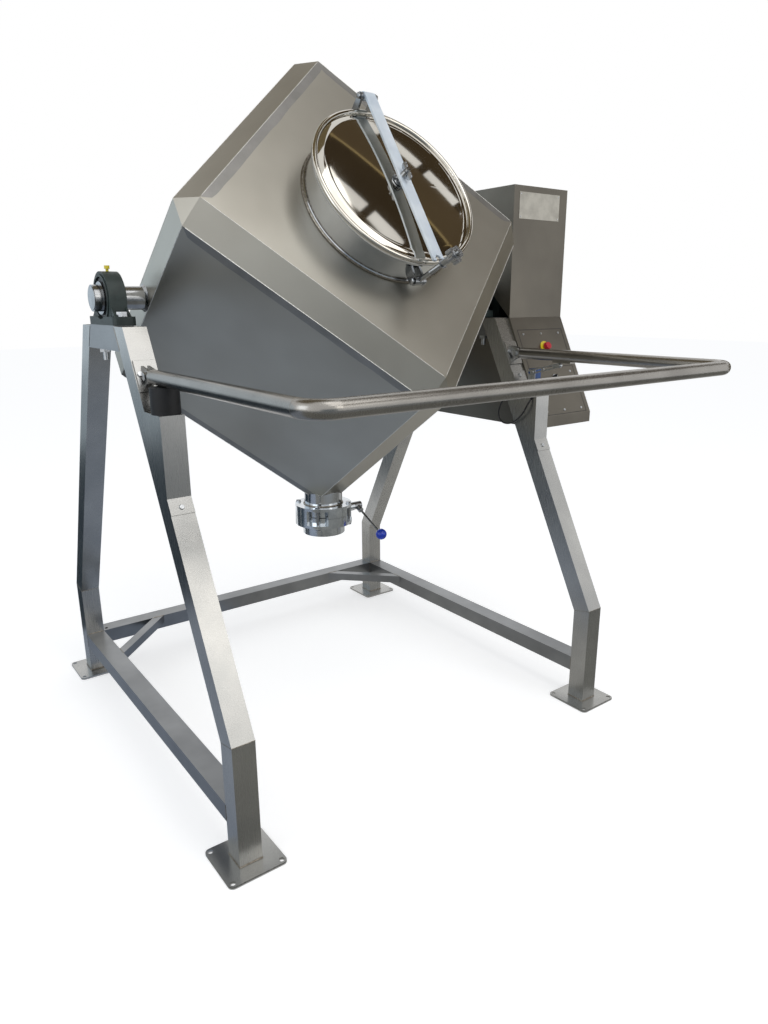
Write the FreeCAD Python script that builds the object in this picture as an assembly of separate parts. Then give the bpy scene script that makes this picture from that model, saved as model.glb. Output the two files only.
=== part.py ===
import FreeCAD, Part
import os
import math

os.makedirs("parts", exist_ok=True)

V = FreeCAD.Vector
X = V(1, 0, 0)
Y = V(0, 1, 0)
Z = V(0, 0, 1)

# Frame: square tube, two A shaped side frames joined by one beam at the back
TUBE = 80.0
TUBE_WALL = 3.0
SIDE_ROOM = 117.7511
POST_SPAN_Y = 1638.0
BEND_Z = 434.0
LEG_LEAN = 27.37
FRAME_TOP = 1665.8
BASE_TOP = 200.0
BASE_TUBE_H = 66.0
BRACE_REACH = 300.0
BRACE_H = 40.0
BRACE_W = 40.0
VENT_R = 8.0
VENT_AT = 18.0
VENT_OFF = 17.0
FOOT = 204.0
FOOT_T = 10.0
FOOT_CORNER = 18.0
ANCHOR_PITCH = 171.0
ANCHOR_R = 9.0

# Shaft and pillow block bearings
SHAFT_R = 40.0
SHAFT_HEIGHT = 88.9
PAD_T = 2.9
SHAFT_PAST_LEFT = 63.0
SHAFT_PAST_RIGHT = 281.0
BLOCK_LENGTH = 292.0
BLOCK_WIDTH = 78.0
BLOCK_FOOT_T = 28.0
BLOCK_HEAD_R = 88.0
BLOCK_BOLT_PITCH = 232.0
INSERT_R = 70.0
INSERT_W = 48.0
RACE_R = 55.0
RACE_W = 70.0
RUN = 0.05
FIT = 0.3
BOLT_R = 10.0
NUT_H = 16.0
NUT_R = 17.0

# Mixing vessel: a cuboid that hangs on one corner, every edge and corner bevelled
VESSEL_SIDE = 1092.0
VESSEL_DEPTH = 1042.0
BEVEL = 72.0
VESSEL_WALL = 4.0

# Manhole on the front upper face
COLLAR_R = 290.0
COLLAR_WALL = 4.0
COLLAR_RISE = 113.0
COLLAR_LIP = 21.0
COLLAR_LIP_T = 5.0
COLLAR_BEAD = 7.0
GASKET_T = 5.0
GASKET_W = 16.0
LID_RIM_OUT = 25.0
LID_ROLL = 9.0
LID_SHEET = 3.0
LID_KNUCKLE_IN = 28.0
LID_KNUCKLE_H = 17.0
LID_CROWN_H = 27.0
ARM_W = 45.0
ARM_T = 8.0
ARM_LIFT = 50.0
HINGE_PAST_COLLAR = 56.0
ARM_HINGE_DROP = 14.0
ARM_EYE_R = 15.0
LID_PIN_R = 8.0
EAR_T = 8.0
EAR_GAP = 1.5
STUD_R = 8.0

# Swing bolt that closes the lid
SWING_PAST_COLLAR = 36.0
SWING_DEPTH = 77.0
SWING_REST = 12.0
SWING_R = 8.0
SWING_LENGTH = 226.0
SWING_EYE_R = 15.0
SWING_PIN_R = 7.0
FORK_END = 10.0
FORK_SLOT = 20.0
HAND_NUT_SEAT = 139.0
HAND_NUT_HUB_R = 12.0
HAND_NUT_HUB_H = 44.0
HAND_NUT_LOBES = 5
HAND_NUT_LOBE_AT = 19.5
HAND_NUT_LOBE_R = 8.5
HAND_NUT_LOBE_H = 26.0

# Outlet with butterfly valve
OUTLET_R = 84.15
OUTLET_WALL = 3.0
OUTLET_TOP_IN = 60.0
OUTLET_STUB = 23.5847
VALVE_R = 125.0
VALVE_PLATE_T = 12.0
VALVE_GAP = 64.0
VALVE_WAIST_R = 100.0
VALVE_PAD_W = 96.0
VALVE_SPLIT = 1.0
VALVE_BORE_R = 77.0
SPIGOT_R = 92.0
SPIGOT_H = 44.0
VALVE_BOLT_CIRCLE_R = 113.0
VALVE_BOLT_R = 6.0
DISC_T = 8.0
DISC_CLEAR = 1.5
STEM_R = 9.0
STEM_BOSS_R = 20.0
STEM_BOSS_END = 158.0
LEVER_HUB_R = 13.0
LEVER_HUB_END = 200.0
LEVER_DROP = 26.0
LEVER_R = 5.0
LEVER_LENGTH = 193.0
BALL_R = 24.5

# Guard rail
RAIL_R = 24.15
RAIL_Z = 1515.0
RAIL_HINGE_OUT = 30.0
RAIL_FRONT = 1335.0
RAIL_ELBOW = 62.0
RAIL_START = 32.0
RAIL_WALL = 2.5
TONGUE_T = 12.0
TONGUE_R = 17.0
RAIL_PIN_R = 8.0
CHEEK_T = 8.0
CHEEK_R = 24.0
RAIL_PLATE_T = 7.0
RAIL_PLATE_H = 96.0
PLATE_BOLT_OUT = 24.5
PLATE_BOLT_UP = 6.0
PLATE_BOLT_R = 7.5
PLATE_BOLT_H = 6.0

# Consoles on the front legs, rubber buffer, limit switch
CONSOLE_TOP_LEFT = 1408.0
CONSOLE_TOP_RIGHT = 1378.0
CONSOLE_OUT = 498.0
CONSOLE_SHEET = 3.0
CONSOLE_FLANGE = 42.0
CONSOLE_FLANGE_UP = 56.0
BUFFER_Y = 449.0
BUFFER_R = 46.0
SCREW_HEAD_R = 9.0
SCREW_HEAD_H = 5.0
SCREW_SLOT = 2.0
SWITCH_OFF_LEG = 3.0
SWITCH_W = 36.0
SWITCH_D = 44.0
SWITCH_H = 70.0
SWITCH_Y = 404.0
SWITCH_PLATE_T = 2.0
SWITCH_SHAFT_R = 5.0
SWITCH_SHAFT_DROP = 14.0
ACTUATOR_Y = 555.0
ACTUATOR_LENGTH = 96.0
ACTUATOR_W = 32.0
ACTUATOR_T = 5.0
SWITCH_LEVER_W = 20.0
SWITCH_LEVER_T = 3.0
SWITCH_LEVER_Y = 585.0
ROLLER_R = 11.0
ROLLER_W = 12.0

# Drive cover, gear unit and motor on the right side frame
COVER_WIDTH = 349.0
COVER_TOP = 2230.0
COVER_FRONT = 240.0
COVER_FOLD_Z = 1230.0
COVER_FOLD_Y = 456.0
COVER_BOTTOM = 1182.0
COVER_SHEET = 2.0
COVER_SHAFT_HOLE_R = 75.0
COVER_NOTCH = ((237.0, 1664.0), (120.0, 1775.0))
COVER_SCREWS = ((1591.0, (-119.0, 0.0, 119.0)), (1416.0, (-119.0, 119.0)), (1252.0, (-119.0, 0.0, 119.0)))
GEAR_GAP = 46.0
GEAR_W = 150.0
GEAR_D = 250.0
GEAR_UP = 150.0
GEAR_DOWN = 190.0
GEAR_ROUND = 40.0
HUB_R = 62.0
HUB_END = 20.0
MOTOR_R = 105.0
MOTOR_LENGTH = 330.0
MOTOR_FINS = 24
MOTOR_FIN = 10.0
MOTOR_FLANGE_R = 112.0
MOTOR_FLANGE_T = 18.0
TERMINAL_BOX = 42.0
ARM_PLATE_T = 12.0
ESTOP_Z = 1529.0
KNOB_Z = 1394.0
ESTOP_PLATE_R = 30.0
ESTOP_PLATE_T = 3.0
ESTOP_STEM_R = 11.0
ESTOP_HEAD_R = 20.0
ESTOP_HEAD_T = 14.0
ESTOP_LIFT = 12.0
KNOB_BEZEL_R = 15.0
KNOB_BEZEL_T = 6.0
KNOB_R = 11.0
KNOB_H = 20.0

# Cable of the limit switch
CABLE_R = 3.5

# Sizes that follow from the ones above
SEAT_Z = FRAME_TOP + PAD_T
SHAFT_Z = SEAT_Z + SHAFT_HEIGHT
LEAN = math.radians(LEG_LEAN)
HALF = VESSEL_SIDE / 2
HALF_DEPTH = VESSEL_DEPTH / 2
HUB_X = (2 * HALF - BEVEL) / math.sqrt(2)
POST_X = HUB_X + SIDE_ROOM
POST_Y = POST_SPAN_Y / 2
POST_SPAN_X = 2 * POST_X
OUTER_X = POST_X + TUBE / 2
INNER_X = POST_X - TUBE / 2
SHAFT_LEFT_END = POST_X + SHAFT_PAST_LEFT
SHAFT_RIGHT_END = POST_X + SHAFT_PAST_RIGHT
# The vessel hangs with its longest diagonal upright
FACE_TILT = math.degrees(math.atan(math.sqrt(2) * HALF / HALF_DEPTH))
LEG_TOP_Y = POST_Y - (FRAME_TOP - BEND_Z) * math.tan(LEAN)
LEG_FACE = TUBE / 2 / math.cos(LEAN)
FRAME_HALF_TOP = LEG_TOP_Y + LEG_FACE
COLLAR_TOP = HALF_DEPTH + COLLAR_RISE
COLLAR_LIP_R = COLLAR_R + COLLAR_LIP
LID_RIM_R = COLLAR_R + LID_RIM_OUT
LID_KNUCKLE_R = COLLAR_R - LID_KNUCKLE_IN
ARM_HINGE_OUT = COLLAR_R + HINGE_PAST_COLLAR
SWING_OUT = COLLAR_R + SWING_PAST_COLLAR
LID_BASE = COLLAR_TOP + GASKET_T
ARM_BASE = LID_BASE + ARM_LIFT
ARM_HINGE_W = ARM_BASE + ARM_T / 2
SWING_W = COLLAR_TOP - SWING_DEPTH + 14
VALVE_H = 2 * VALVE_PLATE_T + VALVE_GAP
# The outlet leaves the lowest corner, which is cut off flat by the bevels
DIAGONAL = math.sqrt(2 * HALF ** 2 + HALF_DEPTH ** 2)
CORNER_DEPTH = DIAGONAL - BEVEL * (HALF + HALF_DEPTH) / DIAGONAL
VALVE_TOP_Z = SHAFT_Z - CORNER_DEPTH - OUTLET_STUB
SWITCH_X = POST_X + SWITCH_OFF_LEG
GEAR_X0 = OUTER_X + GEAR_GAP
VALVE_MID_Z = VALVE_TOP_Z - VALVE_H / 2 - SHAFT_Z
COVER_SLOPE = math.atan((COVER_FOLD_Y - COVER_FRONT) / (FRAME_TOP - COVER_FOLD_Z))
RAIL_HINGE_Y = -(FRAME_HALF_TOP + (FRAME_TOP - RAIL_Z) * math.tan(LEAN) + RAIL_HINGE_OUT)


def leg_face_y(z):
    """Distance from the middle to the outer face of a leaning leg at a height."""
    return FRAME_HALF_TOP + (FRAME_TOP - z) * math.tan(LEAN)


def box(x0, x1, y0, y1, z0, z1):
    return Part.makeBox(x1 - x0, y1 - y0, z1 - z0, V(x0, y0, z0))


def rod(radius, length, at, along):
    return Part.makeCylinder(radius, length, at, along)


def tube(radius, wall, length, at, along):
    return rod(radius, length, at, along).cut(rod(radius - wall, length, at, along))


def prism(points, along):
    """A solid pushed out from a flat outline."""
    wire = Part.makePolygon([V(*p) for p in points] + [V(*points[0])])
    return Part.Face(wire).extrude(along)


def hexagon(across, height, at, along):
    """A hexagonal nut or bolt head, its flats `across` from the middle."""
    corner = across / math.cos(math.pi / 6)
    points = [(corner * math.cos(k * math.pi / 3), corner * math.sin(k * math.pi / 3), 0) for k in range(6)]
    nut = prism(points, V(0, 0, height))
    nut.Placement = FreeCAD.Placement(at, FreeCAD.Rotation(Z, along))
    return nut


def mirror_x(shape):
    return shape.mirror(V(0, 0, 0), X)


def mirror_y(shape):
    return shape.mirror(V(0, 0, 0), Y)


def on_vessel(shape):
    """From the vessel's own frame, centred on the shaft, to the machine at rest."""
    return shape.translated(V(0, 0, SHAFT_Z))


def on_manhole(shape):
    """From the manhole's frame, Z out of the front face, to the machine at rest."""
    shape = shape.copy()
    shape.rotate(V(0, 0, 0), X, FACE_TILT)
    return on_vessel(shape)


def group(shapes):
    return Part.makeCompound(shapes)


def square_tube(length, height=TUBE, width=TUBE):
    """A hollow bar along Z, centred on it."""
    outer = box(-width / 2, width / 2, -height / 2, height / 2, 0, length)
    w, h = width / 2 - TUBE_WALL, height / 2 - TUBE_WALL
    return outer.cut(box(-w, w, -h, h, 0, length))


def leg_outline(inner):
    """Front leg seen from the side, as (y, z) points of the leaning part."""
    half = TUBE / 2 - (TUBE_WALL if inner else 0)
    mitre = half * math.tan(LEAN / 2)
    top = FRAME_TOP
    reach = half / math.cos(LEAN)
    run_out = -(LEG_TOP_Y + reach)
    run_in = -(LEG_TOP_Y - reach)
    return [(-POST_Y - half, BEND_Z + mitre), (run_out, top), (run_in, top), (-POST_Y + half, BEND_Z - mitre)]


def front_post(side):
    """Upright part of a front leg, mitred at the bend."""
    half = TUBE / 2
    solids = []
    for inset in (0, TUBE_WALL):
        h = half - inset
        mitre = h * math.tan(LEAN / 2)
        y0, y1 = -POST_Y - h, -POST_Y + h
        outline = [(0, y0, FOOT_T), (0, y1, FOOT_T), (0, y1, BEND_Z - mitre), (0, y0, BEND_Z + mitre)]
        solid = prism(outline, V(2 * h, 0, 0))
        solid.translate(V(side * POST_X - h, 0, 0))
        solids.append(solid)
    return solids[0].cut(solids[1])


def front_leg(side):
    """Leaning part of a front leg, cut off level with the frame's top."""
    solids = []
    for inset in (0, TUBE_WALL):
        h = TUBE / 2 - inset
        outline = [(0, y, z) for y, z in leg_outline(inset > 0)]
        solid = prism(outline, V(2 * h, 0, 0))
        solid.translate(V(side * POST_X - h, 0, 0))
        solids.append(solid)
    return solids[0].cut(solids[1])


def whole_leg(side):
    """Both tubes of one front leg, welded at the mitre."""
    return group([front_post(side), front_leg(side)])


def top_beam(side):
    """Beam between the two legs of a side frame; it carries a bearing."""
    reach_top = LEG_TOP_Y - LEG_FACE
    reach_low = reach_top + TUBE * math.tan(LEAN)
    low = FRAME_TOP - TUBE
    wall = TUBE_WALL
    slope = math.tan(LEAN)
    outer = [(0, -reach_top, FRAME_TOP), (0, reach_top, FRAME_TOP), (0, reach_low, low), (0, -reach_low, low)]
    inner = [(0, -reach_top - wall * slope, FRAME_TOP - wall), (0, reach_top + wall * slope, FRAME_TOP - wall),
             (0, reach_low - wall * slope, low + wall), (0, -reach_low + wall * slope, low + wall)]
    beam = prism(outer, V(TUBE, 0, 0)).cut(prism(inner, V(TUBE - 2 * wall, 0, 0)).translated(V(wall, 0, 0)))
    beam.translate(V(side * POST_X - TUBE / 2, 0, 0))
    x, half = side * POST_X, BLOCK_WIDTH / 2
    beam = beam.fuse(box(x - half, x + half, -reach_top + 2, reach_top - 2, FRAME_TOP, SEAT_Z))
    for end in (-1, 1):
        hole = rod(BOLT_R + 1, TUBE + PAD_T + 2, V(x, end * BLOCK_BOLT_PITCH / 2, low - 1), Z)
        beam = beam.cut(hole)
    return beam


def base_beam_side(side):
    """Low beam along a side frame, between its two posts."""
    length = POST_SPAN_Y - TUBE
    beam = square_tube(length, BASE_TUBE_H)
    beam.rotate(V(0, 0, 0), X, -90)
    beam.translate(V(side * POST_X, -length / 2, BASE_TOP - BASE_TUBE_H / 2))
    return beam


def base_beam_rear():
    """Low beam at the back, between the two side frames."""
    length = POST_SPAN_X - TUBE
    beam = square_tube(length, TUBE, BASE_TUBE_H)
    beam.rotate(V(0, 0, 0), Y, 90)
    beam.translate(V(-length / 2, POST_Y, BASE_TOP - BASE_TUBE_H / 2))
    return beam.cut(rod(VENT_R, 2 * TUBE_WALL, V(-length / 2 + VENT_AT, POST_Y - VENT_OFF, BASE_TOP - 2 * TUBE_WALL), Z))


def corner_brace(side):
    """Tube at 45 degrees in a rear corner, its top level with the beams."""
    x_in = POST_X - TUBE / 2
    y_in = POST_Y - TUBE / 2
    outer_w = BRACE_W * math.sqrt(2)
    z0 = BASE_TOP - BRACE_H
    reach = BRACE_REACH
    outline = [(x_in, y_in - reach, z0), (x_in, y_in - reach + outer_w, z0),
               (x_in - reach + outer_w, y_in, z0), (x_in - reach, y_in, z0)]
    brace = prism(outline, V(0, 0, BRACE_H))
    t = TUBE_WALL * math.sqrt(2)
    bore = [(x_in, y_in - reach + t, z0 + TUBE_WALL), (x_in, y_in - reach + outer_w - t, z0 + TUBE_WALL),
            (x_in - reach + outer_w - t, y_in, z0 + TUBE_WALL), (x_in - reach + t, y_in, z0 + TUBE_WALL)]
    brace = brace.cut(prism(bore, V(0, 0, BRACE_H - 2 * TUBE_WALL)))
    return brace if side > 0 else mirror_x(brace)


def foot_plate(side, end):
    """Square plate under a post, with four holes for floor anchors."""
    x, y = side * POST_X, end * POST_Y
    h = FOOT / 2
    plate = box(x - h, x + h, y - h, y + h, 0, FOOT_T)
    corners = [e for e in plate.Edges if abs(e.Vertexes[0].Z - e.Vertexes[1].Z) > FOOT_T / 2]
    plate = plate.makeFillet(FOOT_CORNER, corners)
    p = ANCHOR_PITCH / 2
    for dx in (-p, p):
        for dy in (-p, p):
            plate = plate.cut(rod(ANCHOR_R, FOOT_T, V(x + dx, y + dy, 0), Z))
    return plate


def pillow_block(side):
    """Cast bearing housing: foot with two bolt holes, neck and round head."""
    w = BLOCK_WIDTH / 2
    half = BLOCK_LENGTH / 2
    foot = box(-w, w, -half, half, 0, BLOCK_FOOT_T)
    ends = [e for e in foot.Edges if abs(e.Vertexes[0].Z - e.Vertexes[1].Z) > BLOCK_FOOT_T / 2]
    foot = foot.makeFillet(BLOCK_WIDTH / 4, ends)
    neck_w = w * 0.74
    neck = prism([(-neck_w, -BLOCK_HEAD_R, BLOCK_FOOT_T - 1), (-neck_w, BLOCK_HEAD_R, BLOCK_FOOT_T - 1),
                  (-neck_w, BLOCK_HEAD_R, SHAFT_HEIGHT), (-neck_w, -BLOCK_HEAD_R, SHAFT_HEIGHT)],
                 V(2 * neck_w, 0, 0))
    head = rod(BLOCK_HEAD_R, 2 * neck_w, V(-neck_w, 0, SHAFT_HEIGHT), X)
    boss = rod(INSERT_R + 9, 2 * neck_w + 8, V(-neck_w - 4, 0, SHAFT_HEIGHT), X)
    block = foot.fuse([neck, head, boss]).removeSplitter()
    block = block.cut(rod(INSERT_R, BLOCK_WIDTH, V(-w, 0, SHAFT_HEIGHT), X))
    for end in (-1, 1):
        block = block.cut(rod(BOLT_R + 1, BLOCK_FOOT_T, V(0, end * BLOCK_BOLT_PITCH / 2, 0), Z))
    block.translate(V(side * POST_X, 0, SEAT_Z))
    return block


def bearing_outer_ring(side):
    ring = rod(INSERT_R, INSERT_W, V(side * POST_X - INSERT_W / 2, 0, SHAFT_Z), X)
    return ring.cut(rod(RACE_R, INSERT_W, V(side * POST_X - INSERT_W / 2, 0, SHAFT_Z), X))


def bearing_inner_ring(side):
    """Inner ring that turns with the shaft, wider than the outer one."""
    ring = rod(RACE_R - RUN, RACE_W, V(side * POST_X - RACE_W / 2, 0, SHAFT_Z), X)
    return ring.cut(rod(SHAFT_R, RACE_W, V(side * POST_X - RACE_W / 2, 0, SHAFT_Z), X))


def bearing_bolt(side, end):
    """Bolt through the block's foot and the beam, with nut and projecting end."""
    x, y = side * POST_X, end * BLOCK_BOLT_PITCH / 2
    top = SEAT_Z + BLOCK_FOOT_T
    low = FRAME_TOP - TUBE
    head = hexagon(NUT_R, NUT_H, V(x, y, top), Z)
    shank = rod(BOLT_R, top - low + 44, V(x, y, low - 44), Z)
    nut = hexagon(NUT_R, NUT_H, V(x, y, low - NUT_H), Z)
    return head.fuse([shank, nut])


def grease_cap(side):
    """Plastic cap on the grease nipple of a bearing."""
    seat = SHAFT_Z + BLOCK_HEAD_R
    stem = rod(5, 8, V(side * POST_X, 0, seat), Z)
    cap = rod(9, 11, V(side * POST_X, 0, seat + 8), Z)
    return stem.fuse(cap)


def bevelled_block(hx, hz, bevel):
    """Cuboid, square in plan, with all edges and corners cut off flat."""
    def corner(axis, signs):
        size = [hx - bevel, hx - bevel, hz - bevel]
        full = [hx, hx, hz]
        size[axis] = full[axis]
        return V(*[s * d for s, d in zip(signs, size)])

    faces = []
    signs = (-1, 1)
    for axis in range(3):
        others = [i for i in range(3) if i != axis]
        for s in signs:
            ring = []
            for a, b in ((-1, -1), (1, -1), (1, 1), (-1, 1)):
                sign = [0, 0, 0]
                sign[axis], sign[others[0]], sign[others[1]] = s, a, b
                ring.append(corner(axis, sign))
            faces.append(ring)
        for a in signs:
            for b in signs:
                ring = []
                for which, c in ((0, -1), (0, 1), (1, 1), (1, -1)):
                    sign = [0, 0, 0]
                    sign[axis], sign[others[0]], sign[others[1]] = c, a, b
                    ring.append(corner(others[which], sign))
                faces.append(ring)
    for a in signs:
        for b in signs:
            for c in signs:
                faces.append([corner(i, (a, b, c)) for i in range(3)])
    shell = Part.makeShell([Part.Face(Part.makePolygon(ring + [ring[0]])) for ring in faces])
    solid = Part.makeSolid(shell)
    if solid.Volume < 0:
        solid.reverse()
    return solid


def vessel_block(inset):
    """Vessel's outside or inside form in the manhole's frame."""
    shrink = inset * (2 - math.sqrt(2))
    block = bevelled_block(HALF - inset, HALF_DEPTH - inset, BEVEL - shrink)
    block.rotate(V(0, 0, 0), Z, 45)
    return block


def to_vessel(shape):
    """From the manhole's frame to the vessel's frame."""
    shape = shape.copy()
    shape.rotate(V(0, 0, 0), X, FACE_TILT)
    return shape


def outlet_bar(radius, z0, z1):
    return rod(radius, z1 - z0, V(0, 0, z0), Z)


OUTLET_LOW = VALVE_TOP_Z - SHAFT_Z
OUTLET_HIGH = OUTLET_LOW + 2 * OUTLET_R + OUTLET_TOP_IN


def vessel_shell():
    """Welded sheet vessel with openings for the manhole and the outlet."""
    shell = vessel_block(0).cut(vessel_block(VESSEL_WALL))
    shell = shell.cut(rod(COLLAR_R, 4 * VESSEL_WALL, V(0, 0, HALF_DEPTH - 2 * VESSEL_WALL), Z))
    shell = to_vessel(shell)
    return on_vessel(shell.cut(outlet_bar(OUTLET_R, OUTLET_LOW, OUTLET_HIGH)))


def outlet_tube():
    """Round outlet that goes through the vessel's lowest corner."""
    pipe = outlet_bar(OUTLET_R, OUTLET_LOW, OUTLET_HIGH)
    pipe = pipe.cut(outlet_bar(OUTLET_R - OUTLET_WALL, OUTLET_LOW, OUTLET_HIGH))
    return on_vessel(pipe.cut(to_vessel(vessel_block(VESSEL_WALL))))


def shaft_left():
    """Stub shaft welded on the left bevel of the vessel."""
    length = SHAFT_LEFT_END - HUB_X
    stub = rod(SHAFT_R, length, V(-SHAFT_LEFT_END, 0, SHAFT_Z), X)
    weld = Part.makeCone(SHAFT_R + 8, SHAFT_R, 8, V(-HUB_X, 0, SHAFT_Z), -X)
    return stub.fuse(weld)


def shaft_collar():
    """Ring on the shaft's left end that holds it in the bearing."""
    inner = POST_X + RACE_W / 2
    ring = rod(SHAFT_R + 4.4, SHAFT_LEFT_END - inner - 2, V(-SHAFT_LEFT_END + 2, 0, SHAFT_Z), X)
    return ring.cut(rod(SHAFT_R, SHAFT_LEFT_END - inner, V(-SHAFT_LEFT_END, 0, SHAFT_Z), X))


def shaft_right():
    """Stub shaft that goes through the right bearing into the gear unit."""
    stub = rod(SHAFT_R, SHAFT_RIGHT_END - HUB_X, V(HUB_X, 0, SHAFT_Z), X)
    weld = Part.makeCone(SHAFT_R + 8, SHAFT_R, 8, V(HUB_X, 0, SHAFT_Z), X)
    return stub.fuse(weld)


def manhole_collar():
    """Round neck of the manhole with a lip on top and a bead at its foot."""
    low = HALF_DEPTH - VESSEL_WALL
    neck = rod(COLLAR_R, COLLAR_TOP - low, V(0, 0, low), Z)
    lip = rod(COLLAR_LIP_R, COLLAR_LIP_T, V(0, 0, COLLAR_TOP - COLLAR_LIP_T), Z)
    bead = Part.makeCone(COLLAR_R + COLLAR_BEAD, COLLAR_R, COLLAR_BEAD, V(0, 0, HALF_DEPTH), Z)
    ring = neck.fuse([lip, bead])
    return on_manhole(ring.cut(rod(COLLAR_R - COLLAR_WALL, COLLAR_TOP - low, V(0, 0, low), Z)))


def revolve_profile(edges):
    face = Part.Face(Part.Wire(edges))
    return face.revolve(V(0, 0, 0), Z, 360)


def line(a, b):
    return Part.LineSegment(V(a[0], 0, a[1]), V(b[0], 0, b[1])).toShape()


def curve(points):
    """A smooth curve through (radius, height) points."""
    spline = Part.BSplineCurve()
    spline.interpolate([V(r, 0, z) for r, z in points])
    return spline.toShape()


def lid_gasket():
    ring = rod(COLLAR_LIP_R - 2, GASKET_T, V(0, 0, COLLAR_TOP), Z)
    return on_manhole(ring.cut(rod(COLLAR_LIP_R - 2 - GASKET_W, GASKET_T, V(0, 0, COLLAR_TOP), Z)))


def lid_dome():
    """Pressed lid: rolled rim, knuckle and shallow crown, one sheet thick."""
    base = LID_BASE
    roll = LID_RIM_R - LID_ROLL
    rim = Part.makeTorus(roll, LID_ROLL, V(0, 0, base + LID_ROLL), Z)
    t = LID_SHEET
    foot = roll - LID_ROLL + 2
    knee, high, crown = LID_KNUCKLE_R, base + LID_KNUCKLE_H, base + LID_CROWN_H
    band = [(foot, base + LID_ROLL), ((foot + knee) / 2 + 5, base + LID_ROLL + 5), (knee, high)]
    dome = [(knee * k, crown - (crown - high) * k ** 2) for k in (1.0, 0.75, 0.5, 0.25, 0.0)]
    under = [[(r, z - t) for r, z in reversed(points)] for points in (dome, band)]
    edges = [curve(band), curve(dome), line((0, crown), (0, crown - t)), curve(under[0]), curve(under[1]),
             line((foot, base + LID_ROLL - t), (foot, base + LID_ROLL))]
    return on_manhole(rim.fuse(revolve_profile(edges)))


def fork_plate():
    """Outline of the arm: flat bar with an open slot at its lower end."""
    low = -(SWING_OUT + FORK_END)
    high = ARM_HINGE_OUT
    bar = box(-ARM_W / 2, ARM_W / 2, low, high, ARM_BASE, ARM_BASE + ARM_T)
    corners = [e for e in bar.Edges if abs(e.Vertexes[0].Z - e.Vertexes[1].Z) > ARM_T / 2
               and e.Vertexes[0].Y < 0]
    bar = bar.makeFillet(6, corners)
    slot = rod(FORK_SLOT / 2, ARM_T, V(0, -SWING_OUT, ARM_BASE), Z)
    return bar.cut(slot.fuse(box(-FORK_SLOT / 2, FORK_SLOT / 2, low - 1, -SWING_OUT, ARM_BASE, ARM_BASE + ARM_T)))


def lid_arm():
    """Flat bar across the lid with the hinge eye welded on its upper end."""
    w = ARM_W - 4
    eye = rod(ARM_EYE_R, w, V(-w / 2, ARM_HINGE_OUT, ARM_HINGE_W - ARM_HINGE_DROP), X)
    arm = fork_plate().fuse(eye).cut(rod(LID_PIN_R + RUN, w, V(-w / 2, ARM_HINGE_OUT, ARM_HINGE_W - ARM_HINGE_DROP), X))
    return on_manhole(arm.cut(rod(STUD_R + RUN, ARM_T, V(0, 0, ARM_BASE), Z)))


def lid_stud():
    """Threaded stud that hangs the lid from its arm, with a foot and wing nut."""
    low = LID_BASE + LID_CROWN_H
    foot = Part.makeCone(24, 14, 6, V(0, 0, low), Z)
    stud = rod(STUD_R, ARM_BASE + ARM_T - low + 30, V(0, 0, low), Z)
    return on_manhole(foot.fuse(stud))


def lid_wing_nut():
    """Wing nut on top of the arm."""
    seat = ARM_BASE + ARM_T
    hub = Part.makeCone(15, 11, 18, V(0, 0, seat), Z)
    wings = []
    for side in (-1, 1):
        wing = rod(13, 5, V(-2.5, side * 21, seat + 19), X)
        wings.append(wing)
    nut = hub.fuse(wings)
    return on_manhole(nut.cut(rod(STUD_R + RUN, 40, V(0, 0, seat - 1), Z)))


def lid_hinge_bracket():
    """Two ears on the collar that carry the arm's pin."""
    pin_w = ARM_HINGE_W - ARM_HINGE_DROP
    root_low = COLLAR_TOP - 60
    ears = []
    for side in (-1, 1):
        x0 = side * (ARM_W / 2 + EAR_GAP + EAR_T / 2) - EAR_T / 2
        grip = math.sqrt((COLLAR_R - 1) ** 2 - (ARM_W / 2) ** 2)
        plate = prism([(x0, grip, root_low), (x0, grip, COLLAR_TOP - COLLAR_LIP_T - 1),
                       (x0, COLLAR_LIP_R + 4, COLLAR_TOP - COLLAR_LIP_T - 1),
                       (x0, ARM_HINGE_OUT - 13, pin_w), (x0, ARM_HINGE_OUT + 13, pin_w),
                       (x0, ARM_HINGE_OUT, COLLAR_TOP - 20)], V(EAR_T, 0, 0))
        head = rod(13, EAR_T, V(x0, ARM_HINGE_OUT, pin_w), X)
        ears.append(plate.fuse(head).cut(rod(COLLAR_R, LID_BASE, V(0, 0, 0), Z)))
    length = ARM_W + 2 * EAR_T + 12
    pin = rod(LID_PIN_R, length, V(-length / 2, ARM_HINGE_OUT, pin_w), X)
    return on_manhole(ears[0].fuse([ears[1], pin]))


def swing_bracket():
    """Two ears low on the collar with the swing bolt's pin."""
    ears = []
    gap = SWING_EYE_R - 2
    for side in (-1, 1):
        x0 = side * (gap + EAR_T / 2 + FIT) - EAR_T / 2
        plate = box(x0, x0 + EAR_T, -(SWING_OUT + 2), -COLLAR_R * 0.9, SWING_W - 22, SWING_W + 16)
        head = rod(16, EAR_T, V(x0, -SWING_OUT, SWING_W), X)
        ears.append(plate.fuse(head).cut(rod(COLLAR_R, LID_BASE, V(0, 0, 0), Z)))
    length = 2 * (gap + EAR_T) + 10
    pin = rod(SWING_PIN_R, length, V(-length / 2, -SWING_OUT, SWING_W), X)
    return on_manhole(ears[0].fuse([ears[1], pin]))


def on_swing(shape):
    """From the swing bolt's frame, Z along the rod, to its leaning rest position."""
    shape = shape.copy()
    shape.rotate(V(0, 0, 0), X, SWING_REST)
    shape.translate(V(0, -SWING_OUT, SWING_W))
    return on_manhole(shape)


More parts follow.
